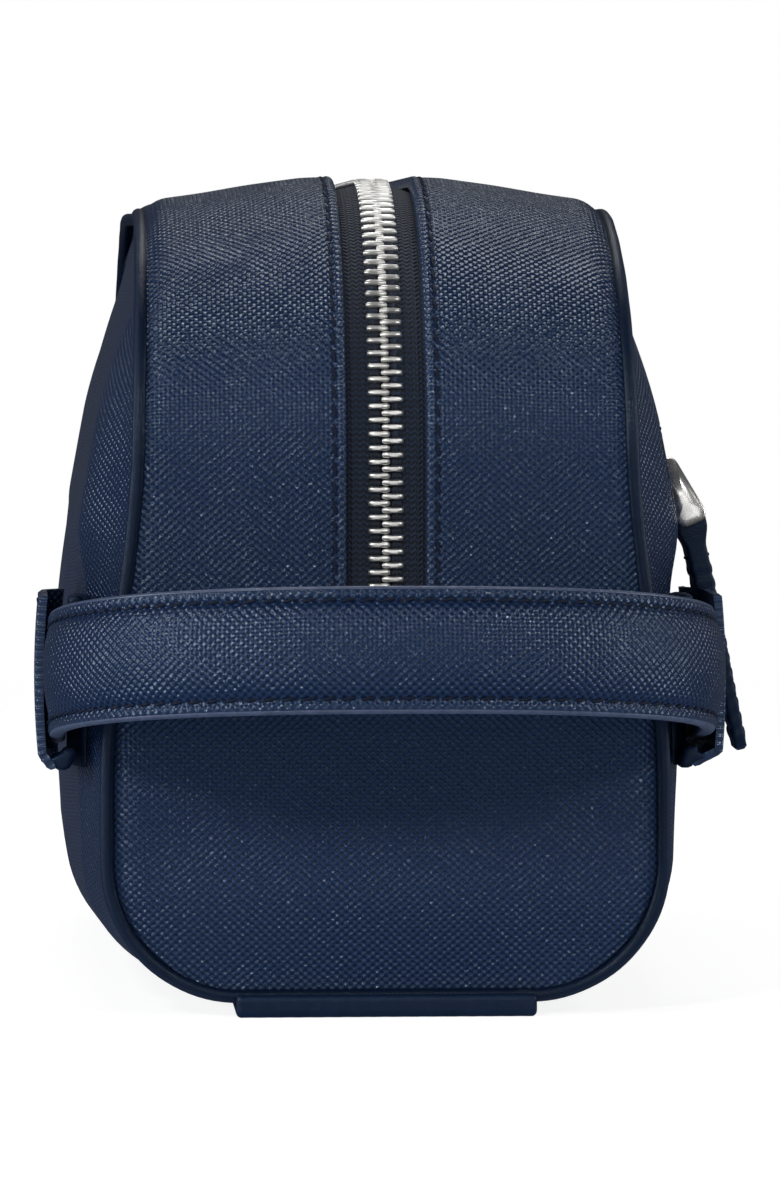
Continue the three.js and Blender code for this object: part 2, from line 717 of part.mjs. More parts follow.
function frontPanel() {
  const window = box(
    [POCKET_TAPE_X - WINDOW_CUT, -WINDOW_HALF_LENGTH, POCKET_ZIP_Z - WINDOW_HALF_HEIGHT],
    [POCKET_TAPE_X + WINDOW_CUT, WINDOW_HALF_LENGTH, POCKET_ZIP_Z + WINDOW_HALF_HEIGHT],
  );
  return fromSolid(toSolid(sidePanel()).subtract(toSolid(window)));
}

// ---- Sliders and pulls ----
// Drawn lying on the zip: the zip runs along Y, the pull stands off along +X,
// and the pull's own pieces hang towards -Z from their hinge at the origin.

function sliderBody() {
  const half = SLIDER_WIDTH / 2;
  const flange = CHAIN_HALF_WIDTH + CLEARANCE;
  const under = CHAIN_LIFT + CLEARANCE;
  const shape = new THREE.Shape();
  shape.moveTo(CLEARANCE, -half);
  shape.lineTo(under + SLIDER_PLATE, -half + SLIDER_CHAMFER);
  shape.lineTo(under + SLIDER_PLATE, half - SLIDER_CHAMFER);
  shape.lineTo(CLEARANCE, half);
  shape.lineTo(CLEARANCE, flange);
  shape.lineTo(under, flange);
  shape.lineTo(under, -flange);
  shape.lineTo(CLEARANCE, -flange);
  shape.closePath();
  return extrudeAlongY(shape, -SLIDER_LENGTH / 2, SLIDER_LENGTH / 2);
}

const PLATE_TOP = CHAIN_LIFT + CLEARANCE + SLIDER_PLATE;
const BAR_X = PLATE_TOP + BRIDGE_RISE;
const BRIDGE_FOOT_GAP = 0.03;

function bridge() {
  const half = BRIDGE_BAR / 2;
  const inner = BRIDGE_INNER / 2;
  const outer = inner + BRIDGE_BAR;
  const foot = PLATE_TOP + BRIDGE_FOOT_GAP;
  const shape = new THREE.Shape();
  shape.moveTo(foot, -outer);
  shape.lineTo(BAR_X + half - BRIDGE_CHAMFER, -outer);
  shape.lineTo(BAR_X + half, -outer + BRIDGE_CHAMFER);
  shape.lineTo(BAR_X + half, outer - BRIDGE_CHAMFER);
  shape.lineTo(BAR_X + half - BRIDGE_CHAMFER, outer);
  shape.lineTo(foot, outer);
  shape.lineTo(foot, inner);
  shape.lineTo(BAR_X - half, inner);
  shape.lineTo(BAR_X - half, -inner);
  shape.lineTo(foot, -inner);
  shape.closePath();
  const geometry = new THREE.ExtrudeGeometry(shape, { depth: BRIDGE_BAR, bevelEnabled: false });
  return geometry.translate(0, 0, -half);
}

const ROD_SIDES = 8;
const HOLE_SIDES = 10;
const EYE_SEGMENTS = 6;
const LOOP_SEGMENTS = 10;

function rod(from, to, radius) {
  const start = new THREE.Vector3(...from);
  const end = new THREE.Vector3(...to);
  const along = end.clone().sub(start);
  const geometry = new THREE.CylinderGeometry(radius, radius, along.length(), ROD_SIDES);
  const upward = new THREE.Vector3(0, 1, 0);
  const turn = new THREE.Quaternion().setFromUnitVectors(upward, along.clone().normalize());
  return geometry.applyQuaternion(turn).translate(...start.add(end).multiplyScalar(0.5).toArray());
}

function circleHole(radius, segments) {
  const path = new THREE.Path();
  steps(360, 0, segments).slice(0, -1).forEach((angle, i) => {
    const x = radius * Math.cos(radians(angle));
    const y = radius * Math.sin(radians(angle));
    if (i === 0) path.moveTo(x, y);
    else path.lineTo(x, y);
  });
  path.closePath();
  return path;
}

const CLIP_ARM_OFFSET = 0.64;             // the arms leave the eye this far each side of its middle

// Wire clip: an eye round the bridge, spreading to a cross bar that carries the leather tab.
function clip() {
  const eye = new THREE.Shape();
  eye.absarc(0, 0, EYE_RADIUS, 0, Math.PI * 2);
  eye.holes.push(circleHole(EYE_HOLE_RADIUS, HOLE_SIDES));
  const barHalf = TAB_WIDTH / 2 + CLIP_BAR_RADIUS + CLEARANCE;
  const elbowZ = TAB_LOOP_RADIUS + CLIP_BAR_RADIUS - CLIP_LENGTH;
  const rods = [rod([0, -barHalf, -CLIP_LENGTH], [0, barHalf, -CLIP_LENGTH], CLIP_BAR_RADIUS)];
  [-1, 1].forEach((side) => {
    const corner = [0, side * barHalf, -CLIP_LENGTH - CLIP_BAR_RADIUS / 2];
    const elbow = [0, side * barHalf, elbowZ];
    const underEye = [0, side * CLIP_ARM_OFFSET, -(EYE_RADIUS + EYE_HOLE_RADIUS) / 2];
    rods.push(rod(corner, elbow, CLIP_BAR_RADIUS));
    rods.push(rod(elbow, underEye, CLIP_BAR_RADIUS));
  });
  const eyeSolid = toSolid(extrudeAlongY(eye, -EYE_WIDTH / 2, EYE_WIDTH / 2, EYE_SEGMENTS));
  return fromSolid(rods.reduce((solid, geometry) => solid.add(toSolid(geometry)), eyeSolid));
}

// Leather tab folded round the clip's bar and sewn to itself.
function pullTab() {
  const shape = new THREE.Shape();
  shape.moveTo(-TAB_HALF_THICKNESS, -TAB_LENGTH);
  shape.lineTo(TAB_HALF_THICKNESS, -TAB_LENGTH);
  shape.lineTo(TAB_HALF_THICKNESS, -TAB_NECK);
  shape.absarc(0, 0, TAB_LOOP_RADIUS, -TAB_LOOP_OVERLAP, Math.PI + TAB_LOOP_OVERLAP);
  shape.lineTo(-TAB_HALF_THICKNESS, -TAB_NECK);
  shape.closePath();
  shape.holes.push(circleHole(TAB_HOLE_RADIUS, HOLE_SIDES));
  return extrudeAlongY(shape, -TAB_WIDTH / 2, TAB_WIDTH / 2, LOOP_SEGMENTS);
}

// The pull's pieces hang tilted away from the bag by these angles.
function hangingPull(prefix, clipTilt, tabTilt) {
  const pull = new THREE.Group();
  const clipMesh = metal(`${prefix}_pull_clip`, clip());
  clipMesh.rotation.y = -radians(clipTilt);
  const tabMesh = leather(`${prefix}_pull_tab`, pullTab());
  tabMesh.position.set(
    CLIP_LENGTH * Math.sin(radians(clipTilt)),
    0,
    -CLIP_LENGTH * Math.cos(radians(clipTilt)),
  );
  tabMesh.rotation.y = -radians(tabTilt);
  pull.add(clipMesh, tabMesh);
  return pull;
}

// ---- Handle ----
// Drawn flat: X across, the second axis forwards from the anchors.

function handleCentre() {
  const arc = steps(0, 90, HANDLE_ARC_DIVISIONS).map((angle) => {
    const power = 2 / HANDLE_ROUNDNESS;
    return new THREE.Vector2(
      HANDLE_HALF_SPAN * Math.cos(radians(angle)) ** power,
      HANDLE_STRAIGHT + (HANDLE_REACH - HANDLE_STRAIGHT) * Math.sin(radians(angle)) ** power,
    );
  });
  const right = [new THREE.Vector2(HANDLE_HALF_SPAN, HANDLE_REAR), ...arc];
  const left = right.slice(0, -1).map((p) => new THREE.Vector2(-p.x, p.y)).reverse();
  return [...right, ...left];
}

function handleLayer(innerOffset, outerOffset, width) {
  const centre = handleCentre();
  const offset = (distance) => centre.map((p, i) => {
    const before = centre[Math.max(0, i - 1)];
    const after = centre[Math.min(centre.length - 1, i + 1)];
    const along = after.clone().sub(before).normalize();
    return new THREE.Vector2(p.x + along.y * distance, p.y - along.x * distance);
  });
  const shape = new THREE.Shape([...offset(outerOffset), ...offset(innerOffset).reverse()]);
  const geometry = new THREE.ExtrudeGeometry(shape, { depth: width, bevelEnabled: false });
  return geometry.translate(0, 0, -width / 2).scale(1, -1, 1);
}

function handlePiece(name, innerOffset, outerOffset, width, color) {
  const geometry = handleLayer(innerOffset, outerOffset, width);
  const solid = facingOut(welded(geometry));
  const mesh = leather(name, solid, color);
  mesh.rotation.x = -radians(HANDLE_TILT);
  mesh.position.set(0, ANCHOR_Y, ANCHOR_Z);
  return mesh;
}

const PATCH_LOWEST_ROW = 2;

// The bag's side from a distance outside its surface to the patches' depth inside it.
function patchShell(inset) {
  return slab(
    sideGrid(inset, SEAM_BACK, PATCH_LOWEST_ROW),
    sideGrid(PATCH_DEPTH, SEAM_BACK, PATCH_LOWEST_ROW),
  );
}

// Anchor patch: a leather cap over the strap's end, with a flat flange sewn behind it.
function anchorPatch() {
  const low = ANCHOR_Z - PATCH_HALF_HEIGHT;
  const high = ANCHOR_Z + PATCH_HALF_HEIGHT;
  const inside = HANDLE_HALF_SPAN - PATCH_DEPTH;
  const cap = toSolid(box([inside, PATCH_FRONT_Y, low], [PATCH_OUTER_X, PATCH_CAP_REAR_Y, high]));
  const hollow = toSolid(box(
    [inside, PATCH_FRONT_Y, low + PATCH_THICKNESS],
    [PATCH_OUTER_X - PATCH_THICKNESS, PATCH_CAP_REAR_Y - PATCH_THICKNESS, high - PATCH_THICKNESS],
  ));
  const flangeSkin = toSolid(patchShell(-CLEARANCE - PATCH_FLANGE));
  const flangeBox = toSolid(box(
    [inside, PATCH_CAP_REAR_Y - PATCH_THICKNESS, low],
    [PATCH_OUTER_X, PATCH_REAR_Y, high],
  ));
  const body = toSolid(patchShell(-CLEARANCE));
  const flange = flangeSkin.intersect(flangeBox);
  return fromSolid(cap.subtract(hollow).add(flange).subtract(body));
}

// ---- Base ----

function baseStrip() {
  const outer = STRIP_END_Y;
  const wrap = BODY_HALF_LENGTH + PIPING_RADIUS + CLEARANCE;
  const rest = BODY_HALF_LENGTH - PIPING_RADIUS - CLEARANCE * 2;
  const underPiping = SEAM_BOTTOM_Z - PIPING_RADIUS - CLEARANCE;
  const shape = new THREE.Shape();
  shape.moveTo(-outer, 0);
  shape.lineTo(outer, 0);
  shape.lineTo(outer, STRIP_END_HEIGHT);
  shape.lineTo(wrap, STRIP_END_HEIGHT);
  shape.lineTo(wrap, underPiping);
  shape.lineTo(rest, underPiping);
  shape.lineTo(rest, STRIP_THICKNESS);
  shape.lineTo(-rest, STRIP_THICKNESS);
  shape.lineTo(-rest, underPiping);
  shape.lineTo(-wrap, underPiping);
  shape.lineTo(-wrap, STRIP_END_HEIGHT);
  shape.lineTo(-outer, STRIP_END_HEIGHT);
  shape.closePath();
  const geometry = extrudeAlongY(shape, -STRIP_HALF_WIDTH, STRIP_HALF_WIDTH);
  return geometry.rotateZ(Math.PI / 2);
}

function baseBoard() {
  const bottom = SEAM_BOTTOM_Z + SIDE_THICKNESS + CLEARANCE;
  const halfLength = BODY_HALF_LENGTH - BOARD_END_GAP;
  return box(
    [-BOARD_HALF_WIDTH, -halfLength, bottom],
    [BOARD_HALF_WIDTH, halfLength, bottom + BOARD_THICKNESS],
  );
}

// ---- Assembly ----

const bag = new THREE.Group();

const sides = new THREE.Group();
sides.add(
  leather('front_panel', frontPanel()),
  leather('back_panel', mirrored(sidePanel())),
);

const band = new THREE.Group();
const nearEnd = endPanel();
band.add(
  leather('end_panel_near', nearEnd),
  leather('end_panel_far', facingOut(nearEnd.clone().scale(1, -1, 1))),
);
const gusset = slab(gussetGrid(0), gussetGrid(BAND_THICKNESS));
band.add(
  leather('gusset_right', gusset),
  leather('gusset_left', mirrored(gusset)),
);

const piping = new THREE.Group();
piping.add(
  leather('piping_cover', pipingCover(), NAVY_SMOOTH, 0.3),
  leather('piping_cord', pipingCord(), FOAM_GREY, 0.9),
);

const base = new THREE.Group();
base.add(
  leather('base_strip', baseStrip(), NAVY_SMOOTH, 0.4),
  leather('base_board', baseBoard(), BOARD_GREY, 0.9),
);

const linings = new THREE.Group();
const nearLining = endLining();
const rightGussetLining = gussetLining();
linings.add(
  leather('lining_right', bodyLining(LINING_INSET_RIGHT), LINING_BLUE, 0.9),
  leather('lining_left', mirrored(bodyLining(LINING_INSET_LEFT)), LINING_BLUE, 0.9),
  leather('lining_end_near', nearLining, LINING_BLUE, 0.9),
  leather('lining_end_far', facingOut(nearLining.clone().scale(1, -1, 1)), LINING_BLUE, 0.9),
  leather('lining_gusset_right', rightGussetLining, LINING_BLUE, 0.9),
  leather('lining_gusset_left', mirrored(rightGussetLining), LINING_BLUE, 0.9),
);

const mainZip = new THREE.Group();
const rightTape = mainTape();
const rightTeeth = mainTeeth();
mainZip.add(
  leather('zip_tape_right', rightTape, NAVY_TAPE, 0.8),
  leather('zip_tape_left', mirrored(rightTape), NAVY_TAPE, 0.8),
  metal('zip_teeth_right', rightTeeth),
  metal('zip_teeth_left', mirrored(rightTeeth)),
  metal('zip_stop_near', zipStop(-1)),
  metal('zip_stop_far', zipStop(1)),
);

// The main slider rests at the lower end of the far end face. Its zip runs upwards there.
const mainSlider = new THREE.Group();
mainSlider.position.set(0, TAPE_FACE_Y, MAIN_SLIDER_Z);
mainSlider.rotation.z = Math.PI / 2;
const mainSliderBody = metal('main_slider_body', sliderBody());
mainSliderBody.rotation.x = Math.PI / 2;
const mainBridge = metal('main_slider_bridge', bridge());
const mainPull = hangingPull('main', MAIN_CLIP_TILT, MAIN_TAB_TILT);
mainPull.position.set(BAR_X, 0, 0);
mainSlider.add(mainSliderBody, mainBridge, mainPull);

const pocketZip = new THREE.Group();
pocketZip.add(
  leather('pocket_tape_upper', pocketTape(1), NAVY_TAPE, 0.8),
  leather('pocket_tape_lower', pocketTape(-1), NAVY_TAPE, 0.8),
  metal('pocket_teeth_upper', pocketTeeth(1)),
  metal('pocket_teeth_lower', pocketTeeth(-1)),
  metal('pocket_stop_near', pocketStop(-1)),
  metal('pocket_stop_far', pocketStop(1)),
  leather('pocket_bag', pocketBag(), LINING_BLUE, 0.9),
);

const pocketSlider = new THREE.Group();
pocketSlider.position.set(POCKET_TAPE_X, POCKET_SLIDER_Y, POCKET_ZIP_Z);
const pocketPull = hangingPull('pocket', POCKET_CLIP_TILT, POCKET_TAB_TILT);
pocketPull.position.set(BAR_X, 0, 0);
pocketSlider.add(
  metal('pocket_slider_body', sliderBody()),
  metal('pocket_slider_bridge', bridge()),
  pocketPull,
);

const handle = new THREE.Group();
const coreEdge = STRAP_CORE_HALF + CLEARANCE;
handle.add(
  handlePiece('handle_outer', coreEdge, STRAP_FACE, HANDLE_WIDTH, NAVY),
  handlePiece('handle_core', -STRAP_CORE_HALF, STRAP_CORE_HALF, STRAP_CORE_WIDTH, FOAM_GREY),
  handlePiece('handle_backing', -STRAP_FACE, -coreEdge, HANDLE_WIDTH, NAVY_SMOOTH),
);

const patches = new THREE.Group();
const rightPatch = anchorPatch();
patches.add(
  leather('anchor_patch_right', rightPatch),
  leather('anchor_patch_left', mirrored(rightPatch)),
);

bag.add(sides, band, piping, base, linings, mainZip, mainSlider, pocketZip, pocketSlider, handle, patches);

export default bag;
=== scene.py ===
import math

import bpy
import numpy as np
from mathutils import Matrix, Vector


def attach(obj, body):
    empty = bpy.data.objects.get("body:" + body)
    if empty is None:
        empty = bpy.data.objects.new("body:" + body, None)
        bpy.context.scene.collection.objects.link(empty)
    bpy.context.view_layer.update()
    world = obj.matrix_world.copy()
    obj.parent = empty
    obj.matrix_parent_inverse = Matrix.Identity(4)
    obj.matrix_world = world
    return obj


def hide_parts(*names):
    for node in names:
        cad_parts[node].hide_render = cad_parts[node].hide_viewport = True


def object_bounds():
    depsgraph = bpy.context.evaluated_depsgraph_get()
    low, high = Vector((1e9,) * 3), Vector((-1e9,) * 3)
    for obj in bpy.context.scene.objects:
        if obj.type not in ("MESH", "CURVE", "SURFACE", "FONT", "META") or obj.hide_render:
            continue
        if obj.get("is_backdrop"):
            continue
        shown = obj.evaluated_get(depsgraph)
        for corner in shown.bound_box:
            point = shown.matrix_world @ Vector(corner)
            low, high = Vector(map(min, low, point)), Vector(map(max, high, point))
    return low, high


# Leather wash bag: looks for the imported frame. Shapes are worked out in millimetres and built in metres.
# +Z is up, the handle end faces -Y, the outside pocket faces +X.

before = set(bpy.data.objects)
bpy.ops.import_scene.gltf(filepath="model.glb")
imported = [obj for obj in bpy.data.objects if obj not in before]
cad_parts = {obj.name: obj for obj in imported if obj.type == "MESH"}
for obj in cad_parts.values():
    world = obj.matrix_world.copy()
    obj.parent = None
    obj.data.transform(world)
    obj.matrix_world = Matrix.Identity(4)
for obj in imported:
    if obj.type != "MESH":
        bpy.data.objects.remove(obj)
cad_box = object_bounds()

MM = 0.001

# ---- Dimensions, in millimetres: the frame's own, unless a comment says otherwise ----

CLEARANCE = 0.3

BODY_HALF_LENGTH = 125
SEAM_BOTTOM_Z = 4.2
CORNER_RADIUS = 27
CORNER_Z = SEAM_BOTTOM_Z + CORNER_RADIUS
LOW_HALF_WIDTH = 56.4
LEAN_IN = 6.6
LEAN_FROM_Z = 45
LEAN_HEIGHT = 75
TOP_TAPER = 1.2
TOP_TAPER_HEIGHT = 40
SHOULDER_Z = 112
SHOULDER_RUN = 62
SHOULDER_RISE = 50.5
TOP_HALF_LENGTH = BODY_HALF_LENGTH - SHOULDER_RUN

BULGE = 11.4
BULGE_CENTRE_Z = 88
BULGE_TOP_REACH = 64
BULGE_LOW = 7.6
BULGE_LOW_Z = 20
BULGE_FALL_HIGH = 31
BULGE_FALL_LOW = 50
FALL_FROM_Z = 80
FALL_HEIGHT = 22

CROWN_END = 2.8
CROWN_TOP = 8.5
CROWN_EDGE_SHARE = 0.35
CROWN_EDGE_WIDTH = 0.14
CROWN_FOOT = CORNER_RADIUS * 0.8
END_SEAM_Z = 66
LIP_X = 8.15

SIDE_THICKNESS = 1.8
BAND_THICKNESS = 2.6
PIPING_RADIUS = 1.5
# not the frame's: the leather runs closer to the piping, 0.95 from the seam where the frame has 1.9,
# and the gussets start at 0.021 of their width where the frame has 0.045
SEAM_TUCK = 0.55
SEAM_BACK = PIPING_RADIUS - SEAM_TUCK
GUSSET_START = 0.021
CORD_RADIUS = 0.65
# not in the frame: how far down the side panel's top edge is drawn to the piping
TOP_EDGE_BLEND = 16

STRIP_HALF_WIDTH = 30.5
# not in the frame: how far the strip presses into the piping and the panels
STRIP_PRESS = 0.4
STRIP_END_Y = 128.7
STRIP_END_HEIGHT = 4.6

CHAIN_LIFT = 1.3
TAPE_THICKNESS = 0.7
TAPE_DEPTH = 3.6
TAPE_RUN = SHOULDER_RUN + CROWN_END - TAPE_DEPTH
TAPE_RISE = SHOULDER_RISE + CROWN_TOP - TAPE_DEPTH
TAPE_FACE_Y = TOP_HALF_LENGTH + TAPE_RUN
TAPE_OUTER_X = 12
TAPE_END_Z = 62
STOP_Z = 69

POCKET_ZIP_Z = 109.5
WINDOW_HALF_HEIGHT = 6.5
WINDOW_HALF_LENGTH = 96
POCKET_TAPE_INSET = 3.4
POCKET_TAPE_HALF_LENGTH = 95
POCKET_TAPE_REACH = 7.8
POCKET_STOP_Y = 83

SLIDER_LENGTH = 11
SLIDER_WIDTH = 10
SLIDER_PLATE = 0.7
PLATE_TOP = CHAIN_LIFT + CLEARANCE + SLIDER_PLATE
BRIDGE_BAR = 1.2
BRIDGE_INNER = 3.8
BRIDGE_RISE = 2.5
BAR_X = PLATE_TOP + BRIDGE_RISE
EYE_WIDTH = 3
CLIP_LENGTH = 10.5
CLIP_BAR_RADIUS = 0.8
TAB_WIDTH = 11
TAB_LENGTH = 50.5
# not the frame's, which has 1.8 and no swell
TAB_HALF_THICKNESS = 1.3
TAB_SWELL = 0.8
TAB_END_ROUND = 2.6
TAB_RIM = 0.85
TAB_LOOP_RADIUS = 3.25
POCKET_SLIDER_Y = -76
POCKET_CLIP_TILT = 24
# not the frame's, which has 14
POCKET_TAB_TILT = 12.8
MAIN_SLIDER_Z = 76.5
MAIN_CLIP_TILT = 14.5
MAIN_TAB_TILT = 0

ANCHOR_Y = -97
ANCHOR_Z = 66.8
HANDLE_TILT = 8
HANDLE_WIDTH = 24
HANDLE_HALF_SPAN = 66.35
HANDLE_REAR = -9
HANDLE_STRAIGHT = 11
HANDLE_REACH = 70
HANDLE_ROUNDNESS = 2.4
STRAP_FACE = 1.85
STRAP_CORE_HALF = 0.45

PATCH_HALF_HEIGHT = 18
PATCH_FRONT_Y = -108
PATCH_CAP_REAR_Y = -82
PATCH_REAR_Y = -72
PATCH_OUTER_X = 71
PATCH_FLANGE = 1.8

# ---- Sewing and grain, in millimetres ----

STITCH_PITCH = 3.9
STITCH_LENGTH = 3.1
STITCH_RADIUS = 0.34
STITCH_SLANT = 9
LIP_STITCH = 2.2
SEAM_STITCH = 2.4
GROOVE_DEPTH = 0.3
GROOVE_WIDTH = 0.55
TOOTH_PITCH = 2.79
GRAIN_PITCH = 1.19


# ---- Numbers ----

def smooth(t):
    t = np.clip(t, 0, 1)
    return t * t * (3 - 2 * t)


def joined(*parts):
    """Number ranges one after another, with shared ends given once."""
    values = np.concatenate([np.asarray(p, float) for p in parts])
    return np.unique(np.round(values, 6))


def rolled(distance, radius):
    """How far a surface drops within a rounded edge of that radius."""
    inside = np.clip(radius - distance, 0, radius)
    return -(radius - np.sqrt(radius ** 2 - inside ** 2))


def groove(distance, depth=GROOVE_DEPTH, width=GROOVE_WIDTH):
    return -depth * np.exp(-((distance / width) ** 2))


def ripple(u, v, amplitude, wave, seed=0.0):
    """Slow uneven swell of a leather panel."""
    a = np.sin(u / wave + 1.3 * np.sin(v / wave * 0.7 + seed) + seed)
    b = np.sin(v / wave * 1.1 - 0.8 * np.sin(u / wave * 0.6 - seed) + 2 * seed)
    return amplitude * a * b


def lengths_along(points, axis):
    steps = np.linalg.norm(np.diff(points, axis=axis), axis=-1)
    start = np.zeros_like(np.take(steps, [0], axis=axis))
    return np.concatenate([start, np.cumsum(steps, axis=axis)], axis=axis)


def unit(vectors):
    size = np.linalg.norm(vectors, axis=-1, keepdims=True)
    return vectors / np.maximum(size, 1e-9)


def grid_normals(points, towards):
    """Unit normals of a grid, on the side that the vectors point towards."""
    across = np.gradient(points, axis=0)
    along = np.gradient(points, axis=1)
    normal = unit(np.cross(across, along))
    flip = np.sum(normal * towards, axis=-1, keepdims=True) < 0
    return np.where(flip, -normal, normal)


def round_turns(count):
    return np.arange(count) * 2 * math.pi / count


def grid(*axes):
    """A grid of points or UVs from coordinates that broadcast together."""
    return np.stack(np.broadcast_arrays(*axes), axis=-1)


def point_at(distance, travelled, points):
    return np.array([np.interp(distance, travelled, points[:, k]) for k in range(3)])


def facing(base, axis, sign):
    """One direction for every point of a grid."""
    towards = np.zeros(base.shape)
    towards[..., axis] = sign
    return towards


# ---- Meshes ----

def make_piece(name, points, faces, body, slot, material, uv=None, wear_and_highlight=None, replaces=(), sharp=35):
    mesh = bpy.data.meshes.new(name)
    points = np.asarray(points, float).reshape(-1, 3)
    mesh.from_pydata((points * MM).tolist(), [], [tuple(int(i) for i in f) for f in faces])
    loops = np.empty(len(mesh.loops), np.int32)
    mesh.loops.foreach_get("vertex_index", loops)
    if uv is not None:
        layer = mesh.uv_layers.new(name="UVMap")
        flat = np.asarray(uv, float).reshape(-1, 2) * MM
        layer.data.foreach_set("uv", flat[loops].astype(np.float32).ravel())
    # per-point share of the paler colour: wear on edges, and a painted highlight along the piping's outward
    # crest
    edge = mesh.attributes.new("wear_and_highlight", "FLOAT", "POINT")
    values = np.zeros(len(points)) if wear_and_highlight is None else np.asarray(wear_and_highlight, float).ravel()
    edge.data.foreach_set("value", values.astype(np.float32))
    mesh.validate()
    mesh.polygons.foreach_set("use_smooth", np.ones(len(mesh.polygons), bool))
    mesh.set_sharp_from_angle(angle=math.radians(sharp))
    mesh.materials.append(material)
    piece = bpy.data.objects.new(name, mesh)
    bpy.context.scene.collection.objects.link(piece)
    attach(piece, body)
    if replaces:
        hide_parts(*replaces)
    return piece


def grid_quads(rows, columns, keep=None):
    r, c = np.meshgrid(np.arange(rows - 1), np.arange(columns - 1), indexing="ij")
    a = r * columns + c
    quads = np.stack([a, a + 1, a + columns + 1, a + columns], axis=-1)
    return quads[keep] if keep is not None else quads.reshape(-1, 4)


def slab_faces(rows, columns, keep=None):
    """Both faces of a slab and the walls round its edges and holes."""
    outer = grid_quads(rows, columns, keep)
    count = rows * columns
    sides = {}
    for quad in outer:
        for i in range(4):
            a, b = int(quad[i]), int(quad[(i + 1) % 4])
            if (b, a) in sides:
                del sides[(b, a)]
            else:
                sides[(a, b)] = True
    walls = np.array([(b, a, a + count, b + count) for a, b in sides])
    return np.concatenate([outer, outer[:, ::-1] + count, walls])


def facing_out(points, faces):
    """Turns the faces round if they enclose a negative volume."""
    p = np.asarray(points, float).reshape(-1, 3)
    f = np.asarray(faces)
    volume = 0.0
    for k in range(1, f.shape[1] - 1):
        volume += np.sum(p[f[:, 0]] * np.cross(p[f[:, k]], p[f[:, k + 1]]))
    return f[:, ::-1] if volume < 0 else f


def leather_slab(name, base, towards, height, thickness, uv, wear_and_highlight=None, keep=None, **where):
    """A sheet of leather: the base grid raised by height, closed behind at its thickness."""
    normal = grid_normals(base, towards)
    outer = base + normal * height[..., None]
    inner = base - normal * thickness
    rows, columns = base.shape[:2]
    faces = slab_faces(rows, columns, keep)
    points = np.concatenate([outer.reshape(-1, 3), inner.reshape(-1, 3)])
    faces = facing_out(points, faces)
    marks = np.zeros(height.shape) if wear_and_highlight is None else wear_and_highlight
    make_piece(
        name, points, faces,
        uv=np.concatenate([uv.reshape(-1, 2), uv.reshape(-1, 2)]),
        wear_and_highlight=np.concatenate([marks.ravel(), marks.ravel()]),
        **where,
    )
    return outer, normal


def loft_faces(stations, around, closed=False):
    """Faces of a tube of stations with the same number of points; ends are capped unless closed."""
    quads = []
    for i in range(stations if closed else stations - 1):
        n = (i + 1) % stations
        for k in range(around):
            m = (k + 1) % around
            quads.append((i * around + k, i * around + m, n * around + m, n * around + k))
    return quads


def capped_loft(sections, hollow=False):
    """Points and faces of a closed loft. Each end is filled by a fan about its centre,
    or by one flat face when the section is hollow on one side, as a channel is."""
    sections = np.asarray(sections, float)
    stations, around = sections.shape[:2]
    centres = np.stack([sections[0].mean(0), sections[-1].mean(0)])
    points = np.concatenate([sections.reshape(-1, 3), centres])
    walls = loft_faces(stations, around)
    first, last = stations * around, stations * around + 1
    end = (stations - 1) * around
    fans = []
    for k in range(around):
        m = (k + 1) % around
        fans.append((first, m, k, k))
        fans.append((last, end + k, end + m, end + m))
    given = np.array(walls + fans)
    faces = facing_out(points, given)
    if hollow:
        turned = bool((faces[0] != given[0]).any())
        near, far = list(range(around)), list(range(end, end + around))
        caps = [near, far[::-1]] if turned else [near[::-1], far]
        return points[:-2], faces[:len(walls)].tolist() + caps
    return points, [tuple(dict.fromkeys(f)) for f in faces.tolist()]


def merged(parts):
    """Several (points, faces) as one."""
    all_points, all_faces, start = [], [], 0
    for points, faces in parts:
        all_points.append(points)
        all_faces.extend(tuple(i + start for i in f) for f in faces)
        start += len(points)
    return np.concatenate(all_points), all_faces


def fillet(corners, radius, steps=4):
    """A closed outline with each corner rounded; radius is one number or one for each corner."""
    corners = [np.array(c, float) for c in corners]
    radii = [radius] * len(corners) if np.isscalar(radius) else list(radius)
    outline = []
    for i, corner in enumerate(corners):
        before = corners[i - 1] - corner
        after = corners[(i + 1) % len(corners)] - corner
        reach = min(radii[i], 0.45 * np.linalg.norm(before), 0.45 * np.linalg.norm(after))
        start = corner + before / np.linalg.norm(before) * reach
        end = corner + after / np.linalg.norm(after) * reach
        for t in np.linspace(0, 1, steps + 1):
            outline.append((1 - t) ** 2 * start + 2 * t * (1 - t) * corner + t * t * end)
    return np.array(outline)


def outline_normals(outline):
    ahead = np.roll(outline, -1, axis=0) - np.roll(outline, 1, axis=0)
    ahead = unit(ahead)
    normal = np.stack([ahead[:, 1], -ahead[:, 0]], axis=1)
    x, y = outline.T
    area = np.sum(x * np.roll(y, -1) - np.roll(x, -1) * y)
    return normal if area > 0 else -normal


def bevel_layers(low, high, bevel, steps=3):
    """Depth and inset of each layer of a plate with rounded rims."""
    turns = np.linspace(0, math.pi / 2, steps + 1)
    layers = [(low + bevel * (1 - math.sin(t)), bevel * (1 - math.cos(t))) for t in turns[::-1]]
    layers += [(high - bevel * (1 - math.sin(t)), bevel * (1 - math.cos(t))) for t in turns]
    return layers


def bevelled_prism(outline, low, high, bevel, place, steps=3):
    """An outline drawn in two axes, pushed from low to high along the third, with rounded rims.
    place(a, b, depth) gives the three coordinates."""
    normal = outline_normals(outline)
    layers = bevel_layers(low, high, bevel, steps)
    sections = []
    for depth, inset in layers:
        ring = outline - normal * inset
        sections.append(place(ring[:, 0], ring[:, 1], np.full(len(ring), depth)))
    return capped_loft(sections)


# ---- Materials ----

